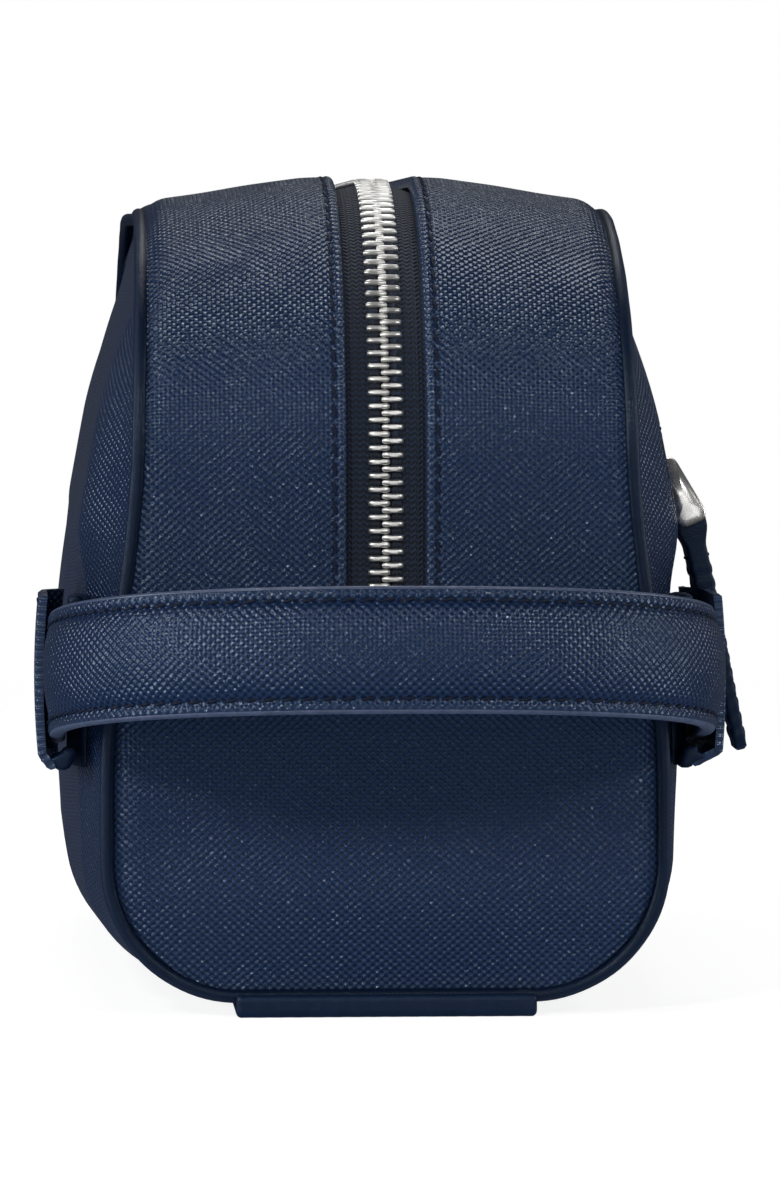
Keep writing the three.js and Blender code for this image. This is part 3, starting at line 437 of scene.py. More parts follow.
class Shader:
    """A node material with one principled shader."""

    def __init__(self, name):
        self.material = bpy.data.materials.new(name)
        self.material.use_nodes = True
        self.nodes = self.material.node_tree.nodes
        self.links = self.material.node_tree.links
        self.surface = self.nodes["Principled BSDF"]

    def node(self, kind, settings=None, **inputs):
        made = self.nodes.new(kind)
        for key, value in (settings or {}).items():
            setattr(made, key, value)
        for key, value in inputs.items():
            self.feed(made.inputs[self.socket(made, key)], value)
        return made

    @staticmethod
    def socket(node, key):
        return int(key[1:]) if key[0] == "i" and key[1:].isdigit() else key.replace("_", " ")

    def feed(self, socket, value):
        if isinstance(value, bpy.types.NodeSocket):
            self.links.new(value, socket)
        else:
            socket.default_value = value

    def math(self, operation, a, b=0.0, c=0.0):
        made = self.node("ShaderNodeMath", {"operation": operation}, i0=a, i1=b, i2=c)
        return made.outputs[0]

    def mix(self, factor, a, b):
        made = self.nodes.new("ShaderNodeMix")
        made.data_type = "RGBA"
        self.feed(made.inputs["Factor"], factor)
        self.feed(made.inputs[6], a)
        self.feed(made.inputs[7], b)
        return made.outputs[2]

    def ramp(self, value, low, high):
        made = self.node("ShaderNodeMapRange", i0=value, i1=low, i2=high)
        return made.outputs[0]

    def noise(self, vector, scale, detail=2.0, roughness=0.5):
        made = self.node("ShaderNodeTexNoise", Vector=vector, Scale=scale, Detail=detail)
        made.inputs["Roughness"].default_value = roughness
        return made.outputs["Fac"]

    def bump(self, height, distance, strength=1.0, after=None):
        made = self.node("ShaderNodeBump", Height=height, Distance=distance, Strength=strength)
        if after is not None:
            self.links.new(after, made.inputs["Normal"])
        return made.outputs[0]

    def uv(self):
        return self.nodes.new("ShaderNodeTexCoord").outputs["UV"]

    def place(self):
        return self.nodes.new("ShaderNodeTexCoord").outputs["Object"]

    # share of the paler colour: worn edges, and a painted highlight along the piping's crest
    def wear_and_highlight(self):
        made = self.nodes.new("ShaderNodeAttribute")
        made.attribute_name = "wear_and_highlight"
        return made.outputs["Fac"]

    def set(self, **values):
        for key, value in values.items():
            self.feed(self.surface.inputs[key.replace("_", " ")], value)


def rgb(red, green, blue):
    return (red, green, blue, 1.0)


NAVY = rgb(0.0098, 0.0250, 0.0740)
# darker navy: painted shade in the saffiano's pits, and the thread's darker twist
NAVY_DEEP = rgb(0.0022, 0.0070, 0.0240)
# paler navy: worn edges, random paler patches, and a painted highlight along the piping's crest
NAVY_WORN_AND_HIGHLIGHT = rgb(0.0320, 0.0500, 0.1000)
SMOOTH_NAVY = rgb(0.0030, 0.0105, 0.0345)
PIPING_NAVY = rgb(0.0012, 0.0055, 0.0200)
# paler than the leather: partly the edge paint's own colour, partly a painted highlight on the strap's edges
PAINT_AND_HIGHLIGHT_NAVY = rgb(0.0560, 0.0800, 0.1500)
THREAD_NAVY = rgb(0.0028, 0.0062, 0.0200)
TAPE_NAVY = rgb(0.0050, 0.0170, 0.0470)


def saffiano(name="saffiano_leather"):
    """Coated leather pressed with two crossing families of slanted ridges."""
    s = Shader(name)
    uv = s.uv()
    swirl = s.noise(uv, 650.0, 2.0)
    drift = s.noise(uv, 55.0, 1.0)
    split = s.node("ShaderNodeSeparateXYZ", i0=uv)
    turn = 2 * math.pi / (GRAIN_PITCH * MM)
    lean = math.radians(41)
    along = s.math("MULTIPLY", split.outputs[0], turn * math.sin(lean))
    up = s.math("MULTIPLY", split.outputs[1], turn * math.cos(lean))
    wobble = s.math("MULTIPLY_ADD", swirl, 2.2, s.math("MULTIPLY", drift, 4.0))
    rising = s.math("COSINE", s.math("ADD", s.math("ADD", along, up), wobble))
    falling = s.math("COSINE", s.math("SUBTRACT", s.math("SUBTRACT", along, up), wobble))
    one_way = s.math("MULTIPLY_ADD", rising, 0.5, 0.5)
    other_way = s.math("MULTIPLY_ADD", falling, 0.5, 0.5)
    leading = s.ramp(s.noise(uv, 90.0, 1.0), 0.38, 0.62)
    weight = s.math("MULTIPLY_ADD", leading, 0.14, 0.43)
    mixed = s.math("ADD", s.math("MULTIPLY", one_way, weight),
                   s.math("MULTIPLY", other_way, s.math("SUBTRACT", 1.0, weight)))
    grain = s.math("POWER", mixed, 1.5)
    patchy = s.ramp(s.noise(uv, 1100.0, 2.0), 0.3, 0.75)
    grain = s.math("MULTIPLY", grain, s.math("MULTIPLY_ADD", patchy, 0.6, 0.55))
    pore = s.noise(uv, 5200.0, 3.0, 0.6)
    normal = s.bump(pore, 0.00003, 0.35)
    normal = s.bump(grain, 0.00034, 1.0, normal)
    cloudy = s.ramp(s.noise(uv, 22.0, 3.0), 0.35, 0.7)
    # the grain's low pits are coloured darker, towards NAVY_DEEP: painted shade in the pits
    colour = s.mix(s.ramp(grain, 0.05, 0.45), NAVY_DEEP, NAVY)
    colour = s.mix(s.math("MULTIPLY", cloudy, 0.06), colour, NAVY_WORN_AND_HIGHLIGHT)
    colour = s.mix(s.math("MULTIPLY", s.wear_and_highlight(), 0.5), colour, NAVY_WORN_AND_HIGHLIGHT)
    # ridges are pressed glossier than the valleys
    rough = s.math("MAXIMUM", s.math("MULTIPLY_ADD", grain, -0.22, 0.32), 0.12)
    coat = s.math("MINIMUM", s.math("MULTIPLY", grain, 0.70), 0.5)
    s.set(Base_Color=colour, Roughness=rough, Normal=normal, Coat_Normal=normal, Coat_Weight=coat)
    s.set(Specular_IOR_Level=0.42)
    s.set(Specular_Tint=rgb(0.60, 0.80, 1.0))
    s.set(Coat_Roughness=0.09)
    return s.material


def smooth_leather(name="smooth_leather", base=SMOOTH_NAVY, worn_and_highlight=NAVY_WORN_AND_HIGHLIGHT, gloss=0.36):
    s = Shader(name)
    uv = s.uv()
    cells = s.node("ShaderNodeTexVoronoi", {"feature": "DISTANCE_TO_EDGE"}, Vector=uv, Scale=1500.0)
    crack = s.ramp(cells.outputs["Distance"], 0.0, 0.12)
    fine = s.noise(uv, 3000.0, 3.0, 0.6)
    slow = s.noise(uv, 130.0, 3.0)
    normal = s.bump(fine, 0.00003, 0.4)
    normal = s.bump(crack, 0.000035, 0.6, normal)
    normal = s.bump(slow, 0.0006, 0.25, normal)
    colour = s.mix(s.ramp(slow, 0.35, 0.7), base, tuple(0.75 * v for v in base[:3]) + (1.0,))
    # paler where the attribute is set: worn edges, and on the piping a painted highlight along its crest
    colour = s.mix(s.math("MULTIPLY", s.wear_and_highlight(), 0.45), colour, worn_and_highlight)
    rough = s.math("MULTIPLY_ADD", fine, 0.16, gloss)
    s.set(Base_Color=colour, Roughness=rough, Normal=normal, Coat_Normal=normal)
    s.set(Specular_IOR_Level=0.22)
    s.set(Specular_Tint=rgb(0.60, 0.80, 1.0))
    s.set(Coat_Weight=0.06)
    s.set(Coat_Roughness=0.2)
    return s.material


def edge_paint():
    """Painted cut edge: smooth and slightly lumpy; its colour is paler than the leather, partly the edge
    paint's own colour and partly a painted highlight along the strap's edges.
    """
    s = Shader("edge_paint")
    uv = s.uv()
    lumps = s.noise(uv, 420.0, 3.0)
    colour = s.mix(s.ramp(lumps, 0.3, 0.7), PAINT_AND_HIGHLIGHT_NAVY, NAVY_WORN_AND_HIGHLIGHT)
    s.set(Base_Color=colour, Roughness=s.math("MULTIPLY_ADD", lumps, 0.2, 0.28))
    s.set(Normal=s.bump(lumps, 0.0003, 0.4))
    return s.material


def thread():
    s = Shader("sewing_thread")
    place = s.place()
    split = s.node("ShaderNodeSeparateXYZ", i0=place)
    diagonal = s.math("ADD", split.outputs[0], s.math("ADD", split.outputs[1], split.outputs[2]))
    twist = s.math("SINE", s.math("MULTIPLY", diagonal, 2 * math.pi / (0.55 * MM)))
    fuzz = s.noise(place, 6000.0, 3.0, 0.7)
    colour = s.mix(s.ramp(twist, -0.6, 1.0), NAVY_DEEP, THREAD_NAVY)
    normal = s.bump(fuzz, 0.00004, 0.5)
    normal = s.bump(twist, 0.00008, 0.7, normal)
    s.set(Base_Color=colour, Roughness=s.math("MULTIPLY_ADD", fuzz, 0.25, 0.5), Normal=normal)
    s.set(Specular_IOR_Level=0.25)
    return s.material


def zip_tape():
    """Herringbone tape: columns of slanted yarns that change direction."""
    s = Shader("zip_tape_weave")
    uv = s.uv()
    split = s.node("ShaderNodeSeparateXYZ", i0=uv)
    column = s.math("PINGPONG", split.outputs[1], 0.75 * MM)
    slant = s.math("ADD", split.outputs[0], s.math("MULTIPLY", column, 0.9))
    yarn = s.math("SINE", s.math("MULTIPLY", slant, 2 * math.pi / (1.15 * MM)))
    rib = s.math("COSINE", s.math("MULTIPLY", split.outputs[1], 2 * math.pi / (0.75 * MM)))
    fuzz = s.noise(uv, 5000.0, 3.0, 0.7)
    weave = s.math("MULTIPLY_ADD", rib, 0.3, yarn)
    normal = s.bump(fuzz, 0.00005, 0.5)
    normal = s.bump(weave, 0.00018, 0.9, normal)
    dark = tuple(0.22 * v for v in TAPE_NAVY[:3]) + (1.0,)
    colour = s.mix(s.ramp(weave, -1.1, 0.9), dark, TAPE_NAVY)
    s.set(Base_Color=colour, Roughness=s.math("MULTIPLY_ADD", fuzz, 0.2, 0.62), Normal=normal)
    s.set(Sheen_Weight=0.06)
    return s.material


def polished_metal(name="polished_steel", tint=rgb(0.80, 0.79, 0.77), dullness=0.0):
    s = Shader(name)
    place = s.place()
    stretch = s.node("ShaderNodeMapping", Vector=place)
    stretch.inputs["Scale"].default_value = (1.0, 1.0, 0.15)
    scratches = s.noise(stretch.outputs[0], 5200.0, 3.0, 0.65)
    smudge = s.noise(place, 240.0, 3.0)
    deeper = tuple(0.72 * v for v in tint[:3]) + (1.0,)
    colour = s.mix(s.ramp(smudge, 0.4, 0.75), tint, deeper)
    rough = s.math("MULTIPLY_ADD", scratches, 0.12, s.math("MULTIPLY_ADD", smudge, 0.14, dullness))
    s.set(Base_Color=colour, Roughness=rough, Normal=s.bump(scratches, 0.000012, 0.35))
    s.set(Metallic=1.0)
    return s.material


def woven(name, colour, darker, pitch, sheen=0.2):
    """Plain weave in object space, for linings, board, felt and cord."""
    s = Shader(name)
    place = s.place()
    split = s.node("ShaderNodeSeparateXYZ", i0=place)
    turn = 2 * math.pi / (pitch * MM)
    waves = [s.math("SINE", s.math("MULTIPLY", split.outputs[k], turn)) for k in range(3)]
    over = s.math("MULTIPLY", s.math("ADD", waves[0], waves[1]), waves[2])
    fuzz = s.noise(place, 4000.0, 3.0, 0.7)
    tone = s.mix(s.ramp(over, -1.2, 1.2), darker, colour)
    tone = s.mix(s.math("MULTIPLY", s.noise(place, 60.0, 2.0), 0.35), tone, darker)
    normal = s.bump(over, 0.0001, 0.6, s.bump(fuzz, 0.00005, 0.5))
    s.set(Base_Color=tone, Roughness=s.math("MULTIPLY_ADD", fuzz, 0.2, 0.7), Normal=normal)
    s.set(Sheen_Weight=sheen)
    return s.material


SAFFIANO = saffiano()
SMOOTH = smooth_leather()
PIPING = smooth_leather("piping_leather", PIPING_NAVY, gloss=0.30)
EDGE_PAINT = edge_paint()
THREAD = thread()
TAPE = zip_tape()
STEEL = polished_metal(tint=rgb(0.92, 0.91, 0.89), dullness=0.16)
TOOTH_STEEL = polished_metal("tumbled_steel", rgb(0.95, 0.94, 0.91), dullness=0.30)
LINING = woven("lining_cloth", rgb(0.030, 0.044, 0.090), rgb(0.014, 0.020, 0.046), 0.5)
CORD_CORE = woven("cotton_cord", rgb(0.36, 0.35, 0.32), rgb(0.20, 0.19, 0.17), 0.7)
BOARD = woven("fibre_board", rgb(0.24, 0.22, 0.19), rgb(0.15, 0.13, 0.11), 1.1, 0.0)
FELT = woven("felt_padding", rgb(0.32, 0.32, 0.30), rgb(0.20, 0.20, 0.19), 0.8)


# ---- Body surface ----

def seam_half_width(z):
    lean = LEAN_IN * smooth((z - LEAN_FROM_Z) / LEAN_HEIGHT)
    above = np.clip((z - LEAN_FROM_Z - LEAN_HEIGHT) / TOP_TAPER_HEIGHT, 0, 1)
    return LOW_HALF_WIDTH - lean - TOP_TAPER * above


def seam_reach(z):
    up = np.clip((z - SHOULDER_Z) / SHOULDER_RISE, 0, 1)
    return TOP_HALF_LENGTH + SHOULDER_RUN * np.sqrt(1 - up * up)


def bulge(z):
    upper = BULGE * (1 - ((z - BULGE_CENTRE_Z) / BULGE_TOP_REACH) ** 2)
    rise = smooth((z - BULGE_LOW_Z) / (BULGE_CENTRE_Z - BULGE_LOW_Z))
    return np.where(z > BULGE_CENTRE_Z, upper, BULGE_LOW + (BULGE - BULGE_LOW) * rise)


def half_width(y, z):
    inside = np.maximum(0, seam_reach(z) - np.abs(y))
    high = smooth((z - FALL_FROM_Z) / FALL_HEIGHT)
    fall = BULGE_FALL_LOW + (BULGE_FALL_HIGH - BULGE_FALL_LOW) * high
    return seam_half_width(z) + bulge(z) * smooth(inside / fall)


class Profile:
    """Stops along the near end, over the top and down the far end, at one height of the ends."""

    def __init__(self, end_z, upright=2.4, turn=2.2, top=2.6):
        rise = np.linspace(end_z, SHOULDER_Z, max(2, int((SHOULDER_Z - end_z) / upright) + 2))[:-1]
        quarter = np.linspace(0, math.pi / 2, int(90 / turn) + 1)
        flat = np.linspace(-TOP_HALF_LENGTH, TOP_HALF_LENGTH, int(2 * TOP_HALF_LENGTH / top) + 1)[1:-1]
        half_angle = np.concatenate([np.zeros(len(rise)), quarter])
        half_below = np.concatenate([SHOULDER_Z - rise, np.zeros(len(quarter))])
        ends = np.full(len(half_angle), -float(TOP_HALF_LENGTH))
        self.angle = np.concatenate([half_angle, np.full(len(flat), math.pi / 2), half_angle[::-1]])
        self.below = np.concatenate([half_below, np.zeros(len(flat)), half_below[::-1]])
        self.along = np.concatenate([ends, flat, -ends])
        side = np.ones(len(self.angle))
        side[: len(half_angle)] = -1
        self.side = side

    def at(self, run, rise, shape=None):
        """Y and Z at a run and rise beyond the shoulder's centre; both may vary across a second axis."""
        column = (slice(None), None) if shape == "grid" else slice(None)
        y = self.along[column] + self.side[column] * run * np.cos(self.angle[column])
        z = SHOULDER_Z - self.below[column] + rise * np.sin(self.angle[column])
        return y, z

    def outward(self):
        return np.stack([
            np.zeros(len(self.angle)),
            self.side * np.cos(self.angle) / SHOULDER_RUN,
            np.sin(self.angle) / SHOULDER_RISE + (self.angle > 1.5) * 0.01,
        ], axis=1)


def crown_share(u):
    edge = 1 - np.minimum(1, u / CROWN_EDGE_WIDTH)
    return CROWN_EDGE_SHARE * (1 - edge * edge) + (1 - CROWN_EDGE_SHARE) * u


# ---- Stitches ----

def stitch_row(points, normals, pitch=STITCH_PITCH, length=STITCH_LENGTH, radius=STITCH_RADIUS, lift=0.0):
    """Slanted sewn threads along a line on a surface."""
    points = np.asarray(points, float)
    travelled = lengths_along(points, 0)
    count = max(1, int(travelled[-1] / pitch))
    centres = (np.arange(count) + 0.5) * travelled[-1] / count
    around = 8
    turns = round_turns(around)
    stations = np.sin(np.linspace(-math.pi / 2, math.pi / 2, 7))
    parts = []
    for centre in centres:
        where = point_at(centre, travelled, points)
        ahead = point_at(centre + 0.4, travelled, points)
        normal = unit(point_at(centre, travelled, normals))
        along = unit(ahead - where)
        across = np.cross(normal, along)
        slant = math.radians(STITCH_SLANT)
        axis = along * math.cos(slant) + across * math.sin(slant)
        cross = np.cross(normal, axis)
        sections = []
        for s in stations:
            full = math.sqrt(max(0.0, 1 - s * s))
            size = radius * (0.15 + 0.85 * full)
            middle = where + axis * s * length / 2 + normal * (lift - 0.35 * radius * (1 - full))
            ring = [middle + cross * size * math.cos(t) + normal * size * 0.8 * math.sin(t) for t in turns]
            sections.append(ring)
        parts.append(capped_loft(sections))
    return merged(parts)


def sew(name, rows, body):
    points, faces = merged(rows)
    return make_piece(name, points, faces, body, "smooth_leather", THREAD, sharp=80)


# ---- Gussets ----

# the grid column, near the lip, along which a gusset's length is measured
RULER_COLUMN = 10


def gusset_grid(side):
    profile = Profile(END_SEAM_Z - 0.1)
    seam_y, seam_z = profile.at(SHOULDER_RUN, SHOULDER_RISE)
    seam_x = half_width(seam_y, seam_z)
    near_lip = joined([0, 0.12, 0.3, 0.55, 0.85, 1.2], np.linspace(1.5, 3.1, 9), [3.8, 5])
    reach = (seam_x[:, None] - LIP_X) * (1 - GUSSET_START)
    spread = np.linspace(0, 1, 26)[1:]
    spread = 1 - (1 - spread) ** 1.35
    far = near_lip[-1] + (reach - near_lip[-1]) * spread[None, :]
    from_lip = np.concatenate([np.repeat(near_lip[None, :], len(seam_x), axis=0), far], axis=1)
    x = LIP_X + from_lip
    share = crown_share((seam_x[:, None] - x) / (seam_x[:, None] - LIP_X))
    y, z = profile.at(SHOULDER_RUN + CROWN_END * share, SHOULDER_RISE + CROWN_TOP * share, "grid")
    base = np.stack([side * x, y, z], axis=-1)
    towards = np.repeat(profile.outward()[:, None, :], x.shape[1], axis=1)
    return base, towards, from_lip, lengths_along(base, 0)


def build_gusset(side, name):
    base, towards, from_lip, along = gusset_grid(side)
    travelled = np.repeat(along[:, [RULER_COLUMN]], base.shape[1], axis=1)
    height = rolled(from_lip, 1.3) + groove(from_lip - LIP_STITCH)
    height += ripple(travelled, from_lip, 0.08, 21.0, side) * smooth((from_lip - 4) / 12)
    height += 0.35 * smooth((from_lip - LIP_STITCH) / 5) * smooth((30 - from_lip) / 14)
    uv = np.stack([side * from_lip, travelled], axis=-1)
    wear_and_highlight = np.exp(-from_lip / 0.9)
    outer, normal = leather_slab(
        name, base, towards, height, BAND_THICKNESS, uv, wear_and_highlight,
        body="bag", slot="saffiano", material=SAFFIANO, replaces=(name,),
    )
    column = int(np.argmin(np.abs(from_lip[0] - LIP_STITCH)))
    return stitch_row(outer[:, column], normal[:, column], lift=0.12)


gusset_rows = [build_gusset(1, "gusset_right"), build_gusset(-1, "gusset_left")]
sew("gusset_stitching", gusset_rows, "bag")


# ---- End panels ----

def outline_half_width(z):
    below = CORNER_Z - z
    corner = LOW_HALF_WIDTH - CORNER_RADIUS + np.sqrt(np.maximum(0, CORNER_RADIUS ** 2 - below ** 2))
    return np.where(below <= 0, seam_half_width(z), corner)


def build_end_panel(end, name):
    margin = SEAM_BACK
    radius = CORNER_RADIUS - margin
    angle = np.linspace(0, math.pi / 2, 26)
    corner_z = CORNER_Z - radius * np.cos(angle)
    corner_x = LOW_HALF_WIDTH - CORNER_RADIUS + radius * np.sin(angle)
    straight_z = np.linspace(CORNER_Z, END_SEAM_Z + 0.1, 16)[1:]
    z = np.concatenate([corner_z, straight_z])
    x = np.concatenate([corner_x, outline_half_width(straight_z) - margin])
    across = np.sin(np.linspace(-math.pi / 2, math.pi / 2, 61))
    across = 0.35 * across + 0.65 * np.linspace(-1, 1, 61)
    upward = smooth((z - SEAM_BOTTOM_Z) / CROWN_FOOT)
    share = crown_share(1 - np.abs(across) ** 1.5)[None, :] * upward[:, None]
    px = x[:, None] * across[None, :]
    pz = np.repeat(z[:, None], len(across), axis=1)
    base = np.stack([px, end * (BODY_HALF_LENGTH + CROWN_END * share), pz], axis=-1)
    towards = facing(base, 1, end)
    height = ripple(px, pz, 0.14, 19.0, 0.7)
    from_edge = x[:, None] - np.abs(px)
    from_edge = np.minimum(from_edge, pz - corner_z[0])
    height = height * smooth(from_edge / 12) + rolled(from_edge, 0.7)
    uv = np.stack([px, pz], axis=-1)
    leather_slab(
        name, base, towards, height, BAND_THICKNESS, uv, np.exp(-from_edge / 0.8),
        body="bag", slot="saffiano", material=SAFFIANO, replaces=(name,),
    )


build_end_panel(-1, "end_panel_near")
build_end_panel(1, "end_panel_far")


# ---- Side panels ----

def side_base(y, top_z, fixed_z):
    """One column of the side from the middle of the bottom, round the corner and up to the top seam."""
    foot = half_width(y, CORNER_Z) - CORNER_RADIUS
    flat = np.linspace(CLEARANCE / 2, foot, 12)[:-1]
    angle = np.linspace(0, math.pi / 2, 20)
    corner_x = foot + CORNER_RADIUS * np.sin(angle)
    corner_z = CORNER_Z - CORNER_RADIUS * np.cos(angle)
    reach = min(fixed_z[-1], top_z - 4)
    lower = CORNER_Z + (fixed_z - CORNER_Z) * (reach - CORNER_Z) / (fixed_z[-1] - CORNER_Z)
    upper = np.linspace(lower[-1], top_z, 15)[1:]
    upper = top_z - (top_z - lower[-1]) * ((top_z - upper) / (top_z - lower[-1])) ** 1.4
    z = np.concatenate([lower, upper])
    x = np.concatenate([flat, corner_x, half_width(y, z)])
    zz = np.concatenate([np.full(len(flat), SEAM_BOTTOM_Z), corner_z, z])
    return np.stack([x, np.full(len(x), y), zz], axis=1)


def window_stops(centre, half, coarse_low, coarse_high, coarse):
    """Stops that crowd towards both edges of the pocket's window."""
    near = np.array([0, 0.2, 0.5, 0.9, 1.4, 2.0, 2.4, 2.8, 3.4, 4.5, 6.0])
    low, high = centre - half, centre + half
    inside = np.linspace(low, high, 5)
    spread = np.concatenate([low - near, high + near, inside])
    wide = np.linspace(coarse_low, coarse_high, coarse)
    wide = wide[(wide < low - 7.5) | (wide > high + 7.5)]
    return joined(wide, spread)


def cell_middles(values):
    return (values[:-1, :-1] + values[1:, 1:]) / 2


def build_side_panel(side, name):
    """The front panel, on +X, has the pocket's window."""
    has_window = side > 0
    shoulder = Profile(SHOULDER_Z - 0.001)
    y_all, _ = shoulder.at(SHOULDER_RUN - SEAM_BACK, SHOULDER_RISE - SEAM_BACK)
    limit = y_all.max()
    fixed_z = window_stops(POCKET_ZIP_Z, WINDOW_HALF_HEIGHT, CORNER_Z + 1.5, 124, 40)
    y_stops = joined(y_all[np.abs(y_all) > 102], window_stops(0, WINDOW_HALF_LENGTH, -104, 104, 80))
    y_stops = y_stops[np.abs(y_stops) <= limit]
    columns = []
    for y in y_stops:
        beyond = max(0.0, abs(y) - TOP_HALF_LENGTH) / (SHOULDER_RUN - SEAM_BACK)
        top_z = SHOULDER_Z + (SHOULDER_RISE - SEAM_BACK) * math.sqrt(max(0.0, 1 - beyond ** 2))
        column = side_base(y, top_z, fixed_z)
        # the top edge follows the piping
        past_flat = max(0.0, abs(y) - TOP_HALF_LENGTH) / SHOULDER_RUN
        seam_z = SHOULDER_Z + SHOULDER_RISE * math.sqrt(1 - past_flat ** 2)
        seam_x = float(half_width(y, seam_z))
        share = 1 - smooth((top_z - column[:, 2]) / TOP_EDGE_BLEND)
        column[:, 0] += (seam_x - column[-1, 0]) * share
        columns.append(column)
    base = np.array(columns)
    base[..., 0] *= side
    towards = facing(base, 0, side)
    towards[:, :12, 2] = -3
    up = lengths_along(base, 1)
    y, z = base[..., 1], base[..., 2]
    from_top = up[:, -1:] - up
    edge = np.minimum(from_top, limit - np.abs(y))
    height = rolled(edge, 0.8) + groove(edge - SEAM_STITCH, 0.25, 0.6)
    height += ripple(y, up, 0.18, 24.0, side) * smooth((edge - 4) / 20)
    keep = np.ones((base.shape[0] - 1, base.shape[1] - 1), bool)
    wear_and_highlight = np.exp(-edge / 0.9)
    if has_window:
        past_y = np.abs(y) - WINDOW_HALF_LENGTH
        past_z = np.abs(z - POCKET_ZIP_Z) - WINDOW_HALF_HEIGHT
        past = np.where((past_y > 0) & (past_z > 0), np.hypot(past_y, past_z), np.maximum(past_y, past_z))
        past = np.where(z > CORNER_Z, past, 99)
        height += rolled(np.maximum(past, 0), 0.9) + groove(past - SEAM_STITCH, 0.22, 0.5)
        wear_and_highlight = np.maximum(wear_and_highlight, np.exp(-np.maximum(past, 0) / 0.8))
        cell_y, cell_z = cell_middles(np.abs(y)), cell_middles(z)
        keep = ~((cell_y < WINDOW_HALF_LENGTH)
                 & (np.abs(cell_z - POCKET_ZIP_Z) < WINDOW_HALF_HEIGHT)
                 & (cell_z > CORNER_Z))
    uv = np.stack([side * y, up], axis=-1)
    outer, normal = leather_slab(
        name, base, towards, height, SIDE_THICKNESS, uv, wear_and_highlight, keep,
        body="bag", slot="saffiano", material=SAFFIANO, replaces=(name,),
    )
    return outer, normal, y_stops, up


def nearest_line(outer, normal, distances, target):
    """The line across a grid where the distance has a value, one point for each row."""
    line, facing = [], []
    for r in range(outer.shape[0]):
        d = distances[r]
        order = np.argsort(d)
        line.append([np.interp(target, d[order], outer[r, order, k]) for k in range(3)])
        facing.append([np.interp(target, d[order], normal[r, order, k]) for k in range(3)])
    return np.array(line), np.array(facing)


def side_stitching(outer, normal, y_stops, up):
    """Along the top seam, then down both ends, just inside the piping."""
    from_top = up[:, -1:] - up
    limit = np.abs(y_stops).max() - SEAM_STITCH
    inner = np.abs(y_stops) <= limit
    top, top_normal = nearest_line(outer[inner], normal[inner], from_top[inner], SEAM_STITCH)
    rows = [stitch_row(top, top_normal, lift=0.1)]
    for end in (-1, 1):
        column, facing = [], []
        for c in range(1, outer.shape[1]):
            if from_top[np.argmin(np.abs(y_stops - end * limit)), c] < SEAM_STITCH:
                continue
            column.append([np.interp(end * limit, y_stops, outer[:, c, k]) for k in range(3)])
            facing.append([np.interp(end * limit, y_stops, normal[:, c, k]) for k in range(3)])
        rows.append(stitch_row(column, np.array(facing), lift=0.1))
    return rows


def window_stitching():
    """Round the pocket's window, outside its edge."""
    y_reach = WINDOW_HALF_LENGTH + SEAM_STITCH
    z_reach = WINDOW_HALF_HEIGHT + SEAM_STITCH
    rows = []
    for z in (POCKET_ZIP_Z - z_reach, POCKET_ZIP_Z + z_reach):
        y = np.linspace(-y_reach, y_reach, 120)
        rows.append(stitch_on_side(y, np.full(len(y), z)))
    for end in (-1, 1):
        z = np.linspace(POCKET_ZIP_Z - z_reach + 2, POCKET_ZIP_Z + z_reach - 2, 12)
        rows.append(stitch_on_side(np.full(len(z), end * y_reach), z))
    return rows


def stitch_on_side(y, z):
    x = half_width(y, z)
    points = np.stack([x, y, z], axis=1)
    slope_y = (half_width(y + 0.5, z) - half_width(y - 0.5, z))
    slope_z = (half_width(y, z + 0.5) - half_width(y, z - 0.5))
    normals = unit(np.stack([np.ones(len(x)), -slope_y, -slope_z], axis=1))
    return stitch_row(points, normals, lift=-0.1)


front = build_side_panel(1, "front_panel")
back = build_side_panel(-1, "back_panel")
sew("side_stitching", side_stitching(*front) + side_stitching(*back) + window_stitching(), "bag")


# ---- Piping ----

def seam_loop():
    angle = np.linspace(0, math.pi / 2, 26)
    centre_x = LOW_HALF_WIDTH - CORNER_RADIUS
    corner = np.stack([
        centre_x + CORNER_RADIUS * np.sin(angle),
        np.full(len(angle), -float(BODY_HALF_LENGTH)),
        CORNER_Z - CORNER_RADIUS * np.cos(angle),
    ], axis=1)
    z = np.linspace(CORNER_Z, SHOULDER_Z, 32)[1:-1]
    upright = np.stack([seam_half_width(z), np.full(len(z), -float(BODY_HALF_LENGTH)), z], axis=1)
    turn = np.linspace(0, math.pi / 2, 36)
    y = -TOP_HALF_LENGTH - SHOULDER_RUN * np.cos(turn)
    z = SHOULDER_Z + SHOULDER_RISE * np.sin(turn)
    shoulder = np.stack([half_width(y, z), y, z], axis=1)
    y = np.linspace(-TOP_HALF_LENGTH, 0, 26)[1:-1]
    z = np.full(len(y), SHOULDER_Z + SHOULDER_RISE)
    top = np.stack([half_width(y, z), y, z], axis=1)
    near = np.concatenate([corner, upright, shoulder, top])
    far = near[::-1] * np.array([1, -1, 1])
    right = np.concatenate([near, far])
    left = right[::-1] * np.array([-1, 1, 1])
    flat = np.linspace(-centre_x, centre_x, 20)[1:-1]
    bottom = np.stack([flat, np.full(len(flat), -float(BODY_HALF_LENGTH)),
                       np.full(len(flat), SEAM_BOTTOM_Z)], axis=1)
    far_bottom = bottom[::-1] * np.array([1, -1, 1])
    return np.concatenate([right, far_bottom, left, bottom])


